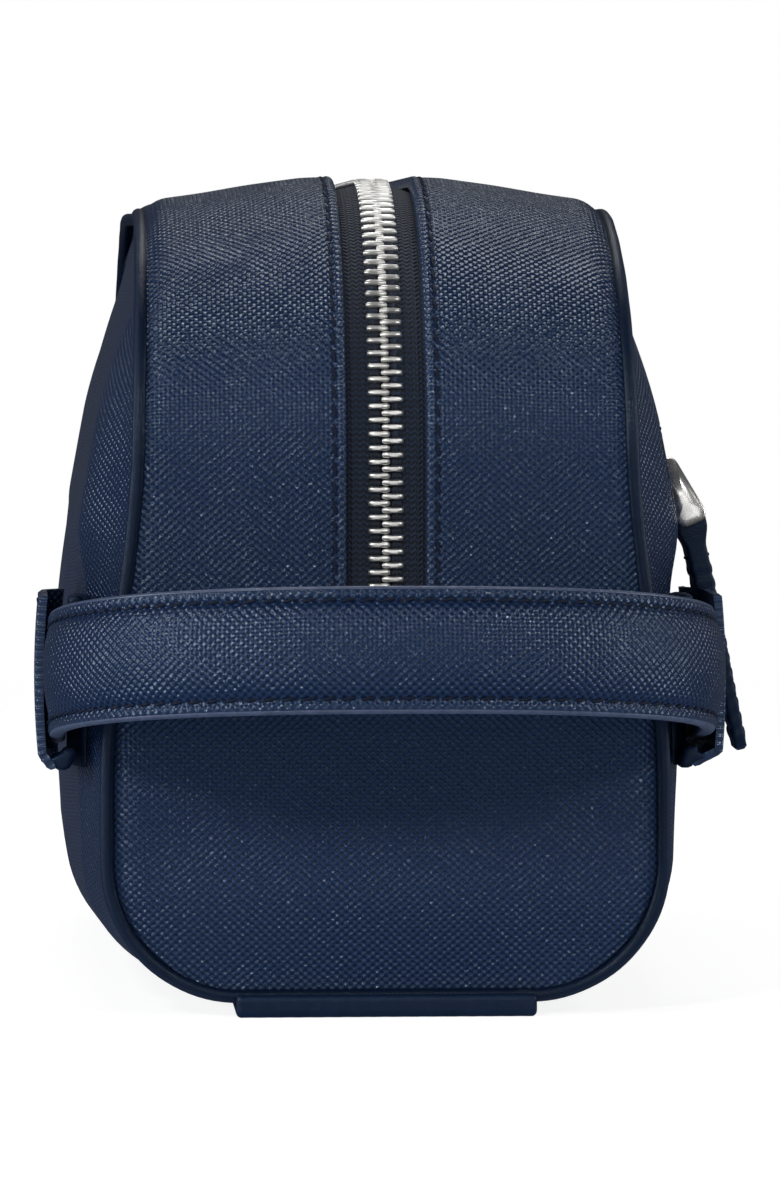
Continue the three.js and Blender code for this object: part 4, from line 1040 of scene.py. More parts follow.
def seam_outward(points):
    """Half way between the side panel's and the band's outward directions."""
    side = np.sign(points[:, 0])
    low = points[:, 2] < CORNER_Z
    centre_x = LOW_HALF_WIDTH - CORNER_RADIUS
    sideways = np.stack([side, np.zeros(len(points)), np.zeros(len(points))], axis=1)
    curved = np.stack([
        side * np.maximum(0, np.abs(points[:, 0]) - centre_x),
        np.zeros(len(points)),
        points[:, 2] - CORNER_Z,
    ], axis=1)
    sideways = np.where(low[:, None], unit(curved), sideways)
    beyond = np.maximum(0, np.abs(points[:, 1]) - TOP_HALF_LENGTH)
    arched = np.stack([
        np.zeros(len(points)),
        np.sign(points[:, 1]) * beyond / SHOULDER_RUN ** 2,
        (points[:, 2] - SHOULDER_Z) / SHOULDER_RISE ** 2,
    ], axis=1)
    flat = np.stack([np.zeros(len(points)), np.sign(points[:, 1]), np.zeros(len(points))], axis=1)
    endwards = np.where((points[:, 2] > SHOULDER_Z)[:, None], unit(arched), flat)
    return unit(sideways + endwards)


def seam_frame():
    """The seam loop with its outward and cross directions and the length travelled along it."""
    loop = seam_loop()
    ahead = unit(np.roll(loop, -1, axis=0) - np.roll(loop, 1, axis=0))
    outward = seam_outward(loop)
    outward = unit(outward - ahead * np.sum(outward * ahead, axis=1, keepdims=True))
    return loop, outward, np.cross(ahead, outward), lengths_along(loop, 0)


def build_welt(name, around, size_at, material, slot, wear_and_highlight_share):
    """A closed round strand along the seam; size_at(travelled, turns) is its radius."""
    loop, outward, cross, travelled = seam_frame()
    turns = round_turns(around)
    sections = []
    for k in range(len(loop)):
        sections.append(loop[k] + outer_ring(size_at(travelled[k], turns), turns, outward[k], cross[k]))
    sections = np.array(sections)
    faces = facing_out(sections.reshape(-1, 3), np.array(loft_faces(len(loop), around, closed=True)))
    uv = grid(travelled[:, None], (turns * PIPING_RADIUS)[None, :])
    # the strand's outward crest is coloured paler: partly rubbing, partly a painted highlight along it
    wear_and_highlight = np.repeat(np.clip(np.cos(turns), 0, 1)[None, :] ** 6, len(loop), axis=0) * wear_and_highlight_share
    make_piece(name, sections, faces, "bag", slot, material, uv=uv, wear_and_highlight=wear_and_highlight, replaces=(name,), sharp=80)


def cover_size(travelled, turns):
    swell = 1 + 0.035 * math.sin(travelled / 7.3) * math.sin(travelled / 3.1 + 1)
    # the welt is pinched where it dives into the seam
    return PIPING_RADIUS * swell * (1 - 0.22 * (0.5 - 0.5 * np.cos(turns)) ** 3)


def cord_size(travelled, turns):
    """Three twisted strands."""
    return CORD_RADIUS * (0.94 + 0.06 * np.cos(3 * turns + travelled * 2 * math.pi / 5))


def outer_ring(size, turns, outward, cross):
    return (size * np.cos(turns))[:, None] * outward + (size * np.sin(turns))[:, None] * cross


# the cover's outward crest is painted paler, partly as wear and partly as a painted highlight
build_welt("piping_cover", 20, cover_size, PIPING, "smooth_leather", 0.5)
build_welt("piping_cord", 12, cord_size, CORD_CORE, "smooth_leather", 0.0)


# ---- Base strip ----

def build_base_strip():
    outer = STRIP_END_Y
    wrap = BODY_HALF_LENGTH + PIPING_RADIUS - STRIP_PRESS
    rest = BODY_HALF_LENGTH - PIPING_RADIUS + STRIP_PRESS
    under = SEAM_BOTTOM_Z - PIPING_RADIUS + STRIP_PRESS
    top = SEAM_BOTTOM_Z + STRIP_PRESS
    corners = [
        (-outer, 0), (outer, 0), (outer, STRIP_END_HEIGHT), (wrap, STRIP_END_HEIGHT), (wrap, under),
        (rest, under), (rest, top), (-rest, top), (-rest, under),
        (-wrap, under), (-wrap, STRIP_END_HEIGHT), (-outer, STRIP_END_HEIGHT),
    ]
    radii = [1.6, 1.6, 1.5, 0.8, 0.4, 0.4, 0.4, 0.4, 0.4, 0.4, 0.8, 1.5]
    outline = fillet(corners, radii, 5)
    normal = outline_normals(outline)
    bevel = 1.1
    x_stops = joined([0, 0.08, 0.25, 0.55, 0.85, bevel], np.linspace(bevel, 2 * STRIP_HALF_WIDTH - bevel, 60),
                     2 * STRIP_HALF_WIDTH - np.array([0, 0.08, 0.25, 0.55, 0.85, bevel]))
    sections = []
    for s in x_stops:
        inset = -rolled(np.array(min(s, 2 * STRIP_HALF_WIDTH - s)), bevel)
        ring = outline - normal * inset
        wave = 0.12 * math.sin(s * 2 * math.pi / STITCH_PITCH)
        end_face = np.abs(ring[:, 0]) > wrap
        ring = ring + np.stack([np.sign(ring[:, 0]) * end_face * wave, np.zeros(len(ring))], axis=1)
        x = np.full(len(ring), s - STRIP_HALF_WIDTH)
        sections.append(np.stack([x, ring[:, 0], ring[:, 1]], axis=1))
    points, faces = capped_loft(sections, hollow=True)
    around = lengths_along(np.concatenate([outline, outline[:1]]), 0)[:-1]
    uv = grid(x_stops[:, None], around[None, :]).reshape(-1, 2)
    make_piece("base_strip", points, faces, "bag", "smooth_leather", SMOOTH, uv=uv, replaces=("base_strip",))


build_base_strip()


# ---- Main zip ----

# not in the frame, whose zip lies lower over the top
CREST_LIFT = 1.5


def crest(z):
    """The zip stands higher in its slot where it crosses the top of the bag."""
    return CREST_LIFT * smooth((z - 138) / 28)


def build_main_tape(side, name):
    profile = Profile(TAPE_END_Z)
    x = joined([0.9, 1.2, 1.6, 2.2, 2.9, 3.4], np.linspace(3.8, TAPE_OUTER_X, 12))
    y, z = profile.at(TAPE_RUN, TAPE_RISE)
    base = grid(side * x[None, :], y[:, None], z[:, None])
    towards = np.repeat(profile.outward()[:, None, :], len(x), axis=1)
    travelled = lengths_along(base, 0)
    corded = 0.5 * np.exp(-(((x - 2.3) / 1.0) ** 2))
    domed = np.clip(1 - (x / LIP_X) ** 2, 0, 1)
    height = corded[None, :] + crest(z)[:, None] * domed[None, :]
    uv = np.stack([travelled, np.repeat(x[None, :], len(y), axis=0)], axis=-1)
    leather_slab(name, base, towards, height, TAPE_THICKNESS, uv,
                 body="bag", slot="zip_tape", material=TAPE, replaces=(name,))


class ChainPath:
    """Points, directions and normals at a length along the main zip."""

    def __init__(self, from_z):
        profile = Profile(from_z)
        y, z = profile.at(TAPE_RUN, TAPE_RISE)
        self.points = np.stack([np.zeros(len(y)), y, z], axis=1)
        ahead = np.gradient(self.points, axis=0)
        self.normals = unit(np.cross(np.array([1.0, 0, 0]), unit(ahead)))
        if self.normals[len(y) // 2, 2] < 0:
            self.normals = -self.normals
        self.points = self.points + self.normals * crest(z)[:, None]
        self.travelled = lengths_along(self.points, 0)
        self.length = self.travelled[-1]

    def at(self, distance):
        where = point_at(distance, self.travelled, self.points)
        normal = unit(point_at(distance, self.travelled, self.normals))
        return where, np.cross(normal, np.array([1.0, 0, 0])), normal


def straight_path(start, end, normal):
    """The same for a straight zip."""
    start, end, normal = (np.array(v, float) for v in (start, end, normal))
    span = np.linalg.norm(end - start)
    ahead = (end - start) / span

    def at(distance):
        return start + ahead * distance, ahead, normal

    return at, span


# A tooth from its clamped outer end to its head: across, half height, top and foot above the tape.
TOOTH_STATIONS = [
    (3.62, 0.34, 0.80, 0.30),
    (3.50, 0.52, 1.08, 0.20),
    (3.10, 0.60, 1.30, 0.15),
    (2.20, 0.60, 1.38, 0.15),
    (1.20, 0.58, 1.40, 0.20),
    (0.60, 0.62, 1.40, 0.25),
    (0.00, 0.64, 1.34, 0.30),
    (-0.50, 0.56, 1.20, 0.40),
    (-0.80, 0.34, 1.00, 0.50),
]
TOOTH_SECTION = np.array([
    (1, 0.25), (0.92, 0.72), (0.6, 0.97), (0, 1.0), (-0.6, 0.97), (-0.92, 0.72), (-1, 0.25),
    (-0.8, 0), (0.8, 0),
])


def tooth(where, ahead, across, normal):
    sections = []
    for x, half, top, foot in TOOTH_STATIONS:
        t = TOOTH_SECTION[:, 0] * half
        n = foot + TOOTH_SECTION[:, 1] * (top - foot)
        sections.append(where + across * x + t[:, None] * ahead + n[:, None] * normal)
    return capped_loft(sections)


def bead(where, ahead, across, normal):
    """The tape's corded edge showing between two teeth."""
    turns = round_turns(8)
    sections = []
    for s in np.sin(np.linspace(-1.45, 1.45, 7)):
        full = math.sqrt(1 - s * s)
        ring = [where + across * (2.25 + 1.05 * s) + ahead * 0.72 * full * math.cos(t)
                + normal * (0.35 + 0.55 * full * math.sin(t)) for t in turns]
        sections.append(ring)
    return capped_loft(sections)


def build_chain(path_at, length, across, phase, teeth_name, bead_name, start=0.0):
    teeth, beads = [], []
    distance = start + phase * TOOTH_PITCH + TOOTH_PITCH * 0.3
    while distance < length - TOOTH_PITCH * 0.3:
        where, ahead, normal = path_at(distance)
        teeth.append(tooth(where, ahead, across, normal))
        where, ahead, normal = path_at(min(length, distance + TOOTH_PITCH / 2))
        beads.append(bead(where, ahead, across, normal))
        distance += TOOTH_PITCH
    points, faces = merged(teeth)
    make_piece(teeth_name, points, faces, "bag", "polished_metal", TOOTH_STEEL,
               replaces=(teeth_name,), sharp=50)
    points, faces = merged(beads)
    uv = points[:, [1, 0]]
    make_piece(bead_name, points, faces, "bag", "zip_tape", TAPE, uv=uv, sharp=80)


build_main_tape(1, "zip_tape_right")
build_main_tape(-1, "zip_tape_left")
chain = ChainPath(STOP_Z + 2)
right = np.array([1.0, 0, 0])
build_chain(chain.at, chain.length, right, 0.0, "zip_teeth_right", "zip_beads_right")
build_chain(chain.at, chain.length, -right, 0.5, "zip_teeth_left", "zip_beads_left")


# ---- Pocket zip ----

POCKET_TAPE_X = float(half_width(0, POCKET_ZIP_Z)) - POCKET_TAPE_INSET


def build_pocket_tape(direction, name):
    y = np.linspace(-POCKET_TAPE_HALF_LENGTH, POCKET_TAPE_HALF_LENGTH, 96)
    out = joined([0.9, 1.2, 1.6, 2.2, 2.9, 3.4], np.linspace(3.8, POCKET_TAPE_REACH, 6))
    z = POCKET_ZIP_Z + direction * out
    base = grid(np.full((1, 1), POCKET_TAPE_X), y[:, None], z[None, :])
    towards = facing(base, 0, 1)
    corded = 0.5 * np.exp(-(((out - 2.3) / 1.0) ** 2))
    height = np.repeat(corded[None, :], len(y), axis=0)
    uv = np.stack([base[..., 1], np.repeat(out[None, :], len(y), axis=0)], axis=-1)
    leather_slab(name, base, towards, height, TAPE_THICKNESS, uv,
                 body="bag", slot="zip_tape", material=TAPE, replaces=(name,))


build_pocket_tape(1, "pocket_tape_upper")
build_pocket_tape(-1, "pocket_tape_lower")
pocket_at, pocket_span = straight_path(
    (POCKET_TAPE_X, -POCKET_STOP_Y, POCKET_ZIP_Z), (POCKET_TAPE_X, POCKET_STOP_Y, POCKET_ZIP_Z), (1, 0, 0))
upward = np.array([0, 0, 1.0])
build_chain(pocket_at, pocket_span, upward, 0.0, "pocket_teeth_upper", "pocket_beads_upper")
build_chain(pocket_at, pocket_span, -upward, 0.5, "pocket_teeth_lower", "pocket_beads_lower")


def build_stop(name, centre, along, across, normal):
    """A folded metal bar across the end of the chain."""
    outline = fillet([(-3.4, 0.35), (3.4, 0.35), (3.4, 1.3), (-3.4, 1.3)], 0.4)

    def place(a, b, depth):
        return np.array(centre, float) + a[:, None] * across + b[:, None] * normal + depth[:, None] * along

    points, faces = bevelled_prism(outline, -0.8, 0.8, 0.3, place)
    make_piece(name, points, faces, "bag", "polished_metal", STEEL, replaces=(name,))


STOP_HALF = 0.85
for end, name in ((-1, "zip_stop_near"), (1, "zip_stop_far")):
    build_stop(name, (0, end * TAPE_FACE_Y, STOP_Z + STOP_HALF), upward, right, np.array([0, end, 0]))
for end, name in ((-1, "pocket_stop_near"), (1, "pocket_stop_far")):
    build_stop(name, (POCKET_TAPE_X, end * (POCKET_STOP_Y + CLEARANCE + STOP_HALF), POCKET_ZIP_Z),
               np.array([0, 1.0, 0]), upward, np.array([1.0, 0, 0]))


# ---- Sliders and pulls ----
# Drawn as the part draws them: the zip runs along Y, the pull stands off along +X and hangs towards -Z.

def pocket_place(points):
    return points + np.array([POCKET_TAPE_X, POCKET_SLIDER_Y, POCKET_ZIP_Z])


def main_place(points):
    x, y, z = points.T
    return np.stack([-y, x, z], axis=1) + np.array([0, TAPE_FACE_Y, MAIN_SLIDER_Z])


def main_slider_place(points):
    """The slider itself also turns, so that its length runs up the end face."""
    x, y, z = points.T
    return main_place(np.stack([x, -z, y], axis=1))


def tilted(points, pivot, degrees):
    """Swings the pull outwards about a pivot on the X-Z plane."""
    turn = math.radians(degrees)
    x, y, z = (points - np.array([pivot[0], 0, pivot[1]])).T
    return np.stack([
        pivot[0] + x * math.cos(turn) - z * math.sin(turn),
        y,
        pivot[1] + x * math.sin(turn) + z * math.cos(turn),
    ], axis=1)


def slider_parts():
    """Domed top plate with side flanges, tapered towards the tail."""
    under = CHAIN_LIFT + CLEARANCE
    half = SLIDER_WIDTH / 2
    section = fillet([
        (CLEARANCE, -half), (under + SLIDER_PLATE, -half + 0.5), (under + SLIDER_PLATE, half - 0.5),
        (CLEARANCE, half), (CLEARANCE, half - 0.8), (under, half - 0.8), (under, -half + 0.8),
        (CLEARANCE, -half + 0.8),
    ], [0.35, 0.5, 0.5, 0.35, 0.2, 0.2, 0.2, 0.2], 4)
    stations = np.linspace(-1, 1, 25)
    sections = []
    for s in stations:
        rim = max(0.0, (abs(s) - 0.86) / 0.14)
        narrow = 1 - 0.05 * smooth((s + 0.1) / 1.1) - 0.03 * rim ** 2
        x = section[:, 0] - 0.25 * rim ** 2 * (section[:, 0] > under)
        y = np.full(len(section), s * SLIDER_LENGTH / 2)
        sections.append(np.stack([x, y, section[:, 1] * narrow], axis=1))
    return capped_loft(sections, hollow=True)


def rod(path, radius, around=12):
    """A round bar along a list of points."""
    path = np.array(path, float)
    ahead = unit(np.gradient(path, axis=0))
    helper = np.array([0.31, 0.17, 0.93])
    cross = unit(np.cross(ahead, helper))
    other = np.cross(ahead, cross)
    turns = round_turns(around)
    sections = [p + outer_ring(np.full(around, radius), turns, c, o) for p, c, o in zip(path, cross, other)]
    return capped_loft(sections)


def bent(corners, radius=1.2, steps=6):
    """An open path of straight runs with rounded bends."""
    corners = [np.array(c, float) for c in corners]
    path = [corners[0]]
    for before, corner, after in zip(corners, corners[1:], corners[2:]):
        back, on = before - corner, after - corner
        reach = min(radius, 0.45 * np.linalg.norm(back), 0.45 * np.linalg.norm(on))
        start = corner + unit(back) * reach
        end = corner + unit(on) * reach
        for t in np.linspace(0, 1, steps):
            path.append((1 - t) ** 2 * start + 2 * t * (1 - t) * corner + t * t * end)
    path.append(corners[-1])
    return path


def bridge_parts():
    """The arch that the pull hangs on."""
    inner = BRIDGE_INNER / 2
    middle = inner + BRIDGE_BAR / 2
    foot = PLATE_TOP - 0.1
    path = bent([(foot, -middle, 0), (BAR_X, -middle, 0), (BAR_X, middle, 0), (foot, middle, 0)], 0.9)
    return rod(path, BRIDGE_BAR / 2)


def clip_parts():
    """A wedge-shaped metal bail: two side plates that widen downwards, an eye at the top, a bar below.
    The plates are fuller and longer than the frame's clip."""
    plate_half = TAB_WIDTH / 2 + CLIP_BAR_RADIUS + CLEARANCE
    bottom = -CLIP_LENGTH - 2.0
    outline = fillet(
        [(-2.1, 2.3), (2.1, 2.3), (3.4, bottom + 1.6), (2.4, bottom), (-2.3, bottom), (-3.1, bottom + 1.6)],
        [1.9, 1.9, 1.4, 1.2, 1.2, 1.4], 7)
    parts = []
    for side in (-1, 1):
        def place(a, b, depth, side=side):
            # the plates close in on the eye
            lean = smooth((b + 3.2) / 5.2)
            crown = 0.6 * (1 - np.clip(np.abs(a) / 3.0, 0, 1) ** 2)
            reach = plate_half + depth * (1 + crown) - (plate_half - 2.2) * lean
            return np.stack([a, side * reach, b], axis=1)
        parts.append(bevelled_ribbon(outline, 1.1, place))
    turns = np.linspace(0, 2 * math.pi, 25)[:-1]
    ring = np.array([(1.68 * math.cos(t), 1.68 * math.sin(t)) for t in turns])
    parts.append(torus_band(ring, EYE_WIDTH / 2, 0.55))
    parts.append(rod([(0, -plate_half, -CLIP_LENGTH), (0, 0, -CLIP_LENGTH), (0, plate_half, -CLIP_LENGTH)],
                     CLIP_BAR_RADIUS))
    return merged(parts)


def bevelled_ribbon(outline, thickness, place):
    """A plate with rounded rims whose outline is filled by rows, so that it can be bent by place()."""
    normal = outline_normals(outline)
    bevel = thickness * 0.42
    layers = bevel_layers(-thickness / 2, thickness / 2, bevel)
    shrink = [0.75, 0.45, 0.15]
    middle = outline.mean(0)
    sections = []
    for depth, share in zip([layers[0][0]] * 3, shrink[::-1]):
        ring = middle + (outline - normal * layers[0][1] - middle) * share
        sections.append(place(ring[:, 0], ring[:, 1], np.full(len(ring), depth)))
    for depth, inset in layers:
        ring = outline - normal * inset
        sections.append(place(ring[:, 0], ring[:, 1], np.full(len(ring), depth)))
    for depth, share in zip([layers[-1][0]] * 3, shrink):
        ring = middle + (outline - normal * layers[-1][1] - middle) * share
        sections.append(place(ring[:, 0], ring[:, 1], np.full(len(ring), depth)))
    return capped_loft(sections)


def torus_band(ring, half_width_y, half_thickness):
    """A closed band round the Y axis with a rounded section."""
    section = fillet([(-half_thickness, -half_width_y), (half_thickness, -half_width_y),
                      (half_thickness, half_width_y), (-half_thickness, half_width_y)], 0.45, 3)
    outward = unit(ring)
    points = []
    for centre, out in zip(ring, outward):
        x = centre[0] + out[0] * section[:, 0]
        z = centre[1] + out[1] * section[:, 0]
        points.append(np.stack([x, section[:, 1], z], axis=1))
    points = np.array(points)
    faces = facing_out(points.reshape(-1, 3), np.array(loft_faces(len(ring), len(section), closed=True)))
    return points.reshape(-1, 3), [tuple(f) for f in faces.tolist()]


def tongue_half(z):
    """Half the thickness of the tab's tongue, which thins towards its tip."""
    return TAB_HALF_THICKNESS + TAB_SWELL * smooth((z + 46) / 36)


def tab_parts():
    """Leather folded round the bar and sewn to itself: a loop, a pinched neck and a long tongue."""
    length = TAB_LENGTH
    outer_r = TAB_LOOP_RADIUS
    z_stops = joined(np.linspace(-length, -8.5, 60), np.linspace(-8.5, outer_r, 40))
    halves = []
    for z in z_stops:
        if z > -2.2:
            size = math.sqrt(max(0.0, outer_r ** 2 - max(0.0, z) ** 2))
        else:
            tongue = float(tongue_half(z))
            size = tongue + (outer_r - tongue) * float(smooth((z + 7.2) / 5.0))
        halves.append(size)
    width = TAB_WIDTH / 2
    sections = []
    for z, thick in zip(z_stops, halves):
        below = z + length
        # the tongue's end is rounded, and its sewn rims are scalloped
        end = 0.0 if below >= TAB_END_ROUND else float(-rolled(np.array(below), TAB_END_ROUND))
        sewn = float(smooth((-9.5 - z) / 1.5))
        scallop = 0.16 * math.sin(z * 2 * math.pi / 3.0) * sewn
        half_w = width - end + 0.5 * scallop
        thick = max(0.35, thick * (1 if below > 0.8 else 0.55 + 0.45 * below / 0.8))
        corners = [(-thick, -half_w), (thick, -half_w), (thick, half_w), (-thick, half_w)]
        ring = fillet(corners, min(TAB_RIM, thick * 0.9), 5)
        pinch = 0.28 * sewn * np.exp(-(((np.abs(ring[:, 1]) - (half_w - 1.7)) / 0.5) ** 2))
        crown = 0.15 * sewn * np.clip(1 - (ring[:, 1] / (half_w - 1.6)) ** 2, 0, 1)
        ring[:, 0] += np.sign(ring[:, 0]) * (crown - pinch + scallop * 0.6)
        sections.append(np.stack([ring[:, 0], ring[:, 1], np.full(len(ring), z)], axis=1))
    points, faces = capped_loft(sections)
    around = np.linspace(0, 2 * (TAB_WIDTH + 4), sections[0].shape[0])
    uv = grid(around[None, :], z_stops[:, None]).reshape(-1, 2)
    return points, faces, np.concatenate([uv, [[0, 0], [0, 0]]])


def tab_stitching():
    rows = []
    half_w = TAB_WIDTH / 2 - 1.7
    for face in (-1, 1):
        for y in (-half_w, half_w):
            z = np.linspace(-10.2, -TAB_LENGTH + 2.2, 40)
            line = np.stack([face * tongue_half(z), np.full(40, y), z], axis=1)
            facing = np.repeat([[face, 0, 0]], 40, axis=0).astype(float)
            rows.append(stitch_row(line, facing, pitch=3.0, length=2.4, lift=0.0))
        y = np.linspace(-half_w, half_w, 10)
        line = np.stack([np.full(10, face * (TAB_HALF_THICKNESS + 0.85)), y, np.full(10, -8.9)], axis=1)
        facing = np.repeat([[face, 0, 0]], 10, axis=0).astype(float)
        rows.append(stitch_row(line, facing, pitch=2.5, length=2.0, lift=0.1))
    return merged(rows)


def build_pull(prefix, slider_place, pull_place, clip_tilt, tab_tilt):
    points, faces = slider_parts()
    make_piece(f"{prefix}_slider_body", slider_place(points), faces, f"{prefix}_slider",
               "polished_metal", STEEL, replaces=(f"{prefix}_slider_body",), sharp=40)
    points, faces = bridge_parts()
    make_piece(f"{prefix}_slider_bridge", pull_place(points), faces, f"{prefix}_slider",
               "polished_metal", STEEL, replaces=(f"{prefix}_slider_bridge",), sharp=60)
    points, faces = clip_parts()
    points = points + np.array([BAR_X, 0, 0])
    points = tilted(points, (BAR_X, 0), clip_tilt)
    make_piece(f"{prefix}_pull_clip", pull_place(points), faces, f"{prefix}_clip", "polished_metal", STEEL,
               replaces=(f"{prefix}_pull_clip",), sharp=50)
    turn = math.radians(clip_tilt)
    hinge = (BAR_X + CLIP_LENGTH * math.sin(turn), -CLIP_LENGTH * math.cos(turn))
    points, faces, uv = tab_parts()
    points = tilted(points + np.array([hinge[0], 0, hinge[1]]), hinge, tab_tilt)
    make_piece(f"{prefix}_pull_tab", pull_place(points), faces, f"{prefix}_tab", "saffiano", SMOOTH,
               uv=uv, replaces=(f"{prefix}_pull_tab",))
    points, faces = tab_stitching()
    points = tilted(points + np.array([hinge[0], 0, hinge[1]]), hinge, tab_tilt)
    sew_at = pull_place(points)
    make_piece(f"{prefix}_tab_stitching", sew_at, faces, f"{prefix}_tab", "smooth_leather", THREAD, sharp=80)


build_pull("pocket", pocket_place, pocket_place, POCKET_CLIP_TILT, POCKET_TAB_TILT)
build_pull("main", main_slider_place, main_place, MAIN_CLIP_TILT, MAIN_TAB_TILT)


# ---- Handle ----

def handle_path():
    """Centre line seen from above, from the right anchor round to the left, with outward directions."""
    power = 2 / HANDLE_ROUNDNESS
    angle = np.linspace(0, math.pi / 2, 46)
    x = HANDLE_HALF_SPAN * np.cos(angle) ** power
    forward = HANDLE_STRAIGHT + (HANDLE_REACH - HANDLE_STRAIGHT) * np.sin(angle) ** power
    straight = np.linspace(HANDLE_REAR, HANDLE_STRAIGHT, 9)[:-1]
    right_x = np.concatenate([np.full(len(straight), HANDLE_HALF_SPAN), x])
    right_f = np.concatenate([straight, forward])
    path = np.stack([
        np.concatenate([right_x, -right_x[-2::-1]]),
        np.concatenate([right_f, right_f[-2::-1]]),
    ], axis=1)
    travelled = lengths_along(path, 0)
    even = np.linspace(0, travelled[-1], 150)
    path = np.stack([np.interp(even, travelled, path[:, k]) for k in range(2)], axis=1)
    ahead = unit(np.gradient(path, axis=0))
    outward = np.stack([ahead[:, 1], -ahead[:, 0]], axis=1)
    if outward[len(path) // 2, 1] < 0:
        outward = -outward
    return path, outward, even


def handle_place(x, forward, across):
    """Flat handle coordinates to the frame's, tilted up about the anchors."""
    tilt = math.radians(HANDLE_TILT)
    y = -forward * math.cos(tilt) + across * math.sin(tilt)
    z = forward * math.sin(tilt) + across * math.cos(tilt)
    return np.stack([x, ANCHOR_Y + y, ANCHOR_Z + z], axis=-1)


STRAP_SEAM = 2.3
STRAP_DOME = 2.1
half_strap = HANDLE_WIDTH / 2


def strap_offset(across, taper):
    """How far the strap's face stands outside its centre line."""
    seam = half_strap - STRAP_SEAM
    dome = STRAP_DOME * np.clip(1 - (across / (seam - 0.4)) ** 2, 0, 1) ** 0.62 * taper
    return STRAP_FACE + dome + groove(np.abs(across) - seam, 0.28, 0.55)


def build_handle():
    path, outward, travelled = handle_path()
    fine = np.array([0.15, 0.4, 0.8, 1.3, 1.8, 2.3, 2.8])
    across = joined(np.linspace(-half_strap, half_strap, 25), half_strap - fine, fine - half_strap)
    inner_gap = STRAP_CORE_HALF + CLEARANCE
    from_end = np.minimum(travelled, travelled[-1] - travelled)
    taper = smooth((from_end - 22) / 14)
    from_rim = half_strap - np.abs(across)
    face = strap_offset(across[None, :], taper[:, None]) + rolled(from_rim, 0.75)[None, :]
    pull = 0.1 * np.sin(travelled[:, None] * 2 * math.pi / STITCH_PITCH)
    face += pull * np.exp(-((from_rim - STRAP_SEAM) / 0.8) ** 2)
    handle_layer("handle_outer", path, outward, travelled, across, face, inner_gap, SAFFIANO, "saffiano",
                 wear_and_highlight=np.exp(-from_rim / 0.7))
    back = STRAP_FACE + rolled(from_rim, 0.6)[None, :] + groove(from_rim - STRAP_SEAM, 0.2, 0.5)[None, :]
    back = np.repeat(back, len(path), axis=0)
    handle_layer("handle_backing", path, outward, travelled, across, -back, -inner_gap, SMOOTH,
                 "smooth_leather", wear_and_highlight=np.exp(-from_rim / 0.7))
    build_strap_edges(path, outward, travelled)
    rows = []
    for side in (-1, 1):
        line_at = side * (half_strap - STRAP_SEAM)
        for sign, shift in ((1, STRAP_FACE - 0.12), (-1, STRAP_FACE - 0.1)):
            x = path[:, 0] + sign * outward[:, 0] * shift
            f = path[:, 1] + sign * outward[:, 1] * shift
            keep = slice(7, -7)
            points = handle_place(x, f, np.full(len(x), line_at))[keep]
            out_x, out_f = x + sign * outward[:, 0], f + sign * outward[:, 1]
            ahead = handle_place(out_x, out_f, np.full(len(x), line_at))[keep]
            rows.append(stitch_row(points, ahead - points, lift=0.05))
    sew("handle_stitching", rows, "handle")


def handle_layer(name, path, outward, travelled, across, face, inner, material, slot, wear_and_highlight):
    def surface(offset):
        x = path[:, 0:1] + outward[:, 0:1] * offset
        f = path[:, 1:2] + outward[:, 1:2] * offset
        return handle_place(x, f, np.repeat(across[None, :], len(path), axis=0))

    outer = surface(face)
    back = surface(np.full(face.shape, float(inner)))
    rows, columns = face.shape
    points = np.concatenate([outer.reshape(-1, 3), back.reshape(-1, 3)])
    faces = facing_out(points, slab_faces(rows, columns))
    uv = grid(travelled[:, None], across[None, :]).reshape(-1, 2)
    marks = np.repeat(wear_and_highlight[None, :], rows, axis=0).ravel()
    piece = make_piece(name, points, faces, "handle", slot, material, uv=np.concatenate([uv, uv]),
                       wear_and_highlight=np.concatenate([marks, marks]), replaces=(name,))


def build_strap_edges(path, outward, travelled):
    """Painted beads that close the strap's two long edges."""
    parts, uvs = [], []
    around = 14
    turns = round_turns(around)
    keep = slice(2, -2)
    for side in (-1, 1):
        sections = []
        for p, o in zip(path[keep], outward[keep]):
            depth = 1.55 * np.cos(turns)
            rise = 0.62 * np.sin(turns)
            x = p[0] + o[0] * depth
            f = p[1] + o[1] * depth
            sections.append(handle_place(x, f, side * (half_strap + rise)))
        points, faces = capped_loft(sections)
        parts.append((points, faces))
        uv = grid(travelled[keep][:, None], (turns * 1.2)[None, :]).reshape(-1, 2)
        uvs.append(np.concatenate([uv, [[0, 0], [0, 0]]]))
    points, faces = merged(parts)
    make_piece("handle_edge_paint", points, faces, "handle", "smooth_leather", EDGE_PAINT,
               uv=np.concatenate(uvs), sharp=80)


build_handle()


# ---- Anchor patches ----

# The sleeves have no node in the frame. They fill part of the space of its solid patches.
SLEEVE_BOW = 0.9
SLEEVE_CLOSE = {1: 4.9, -1: 1.7}
SLEEVE_CLOSE_FROM = 0.8
ROLL_HALF = 1.6
ROLL_X = 63.7
UPPER_ROLL_X = 62.5
ROLL_LEAN = {1: -1.2, -1: 1.8}
SLEEVE_MOUTH_HALF = 14
SLEEVE_INNER_Y = -103
SLEEVE_INNER_REAR = -92
ROLL_DEPTH = 8
ROLL_FILL_FROM = 14.2
ROLL_FILL_RUN = 1.8
PATCH_RISE = 7


def sleeve_face(side, share):
    """How far out the outer leaf stands: its lower end draws in to close on the inner leaf,
    its upper end stays open for the strap to swing up."""
    lower = smooth((-share - SLEEVE_CLOSE_FROM) / (1 - SLEEVE_CLOSE_FROM))
    return PATCH_OUTER_X - 0.1 - SLEEVE_BOW * share ** 2 - SLEEVE_CLOSE[side] * lower


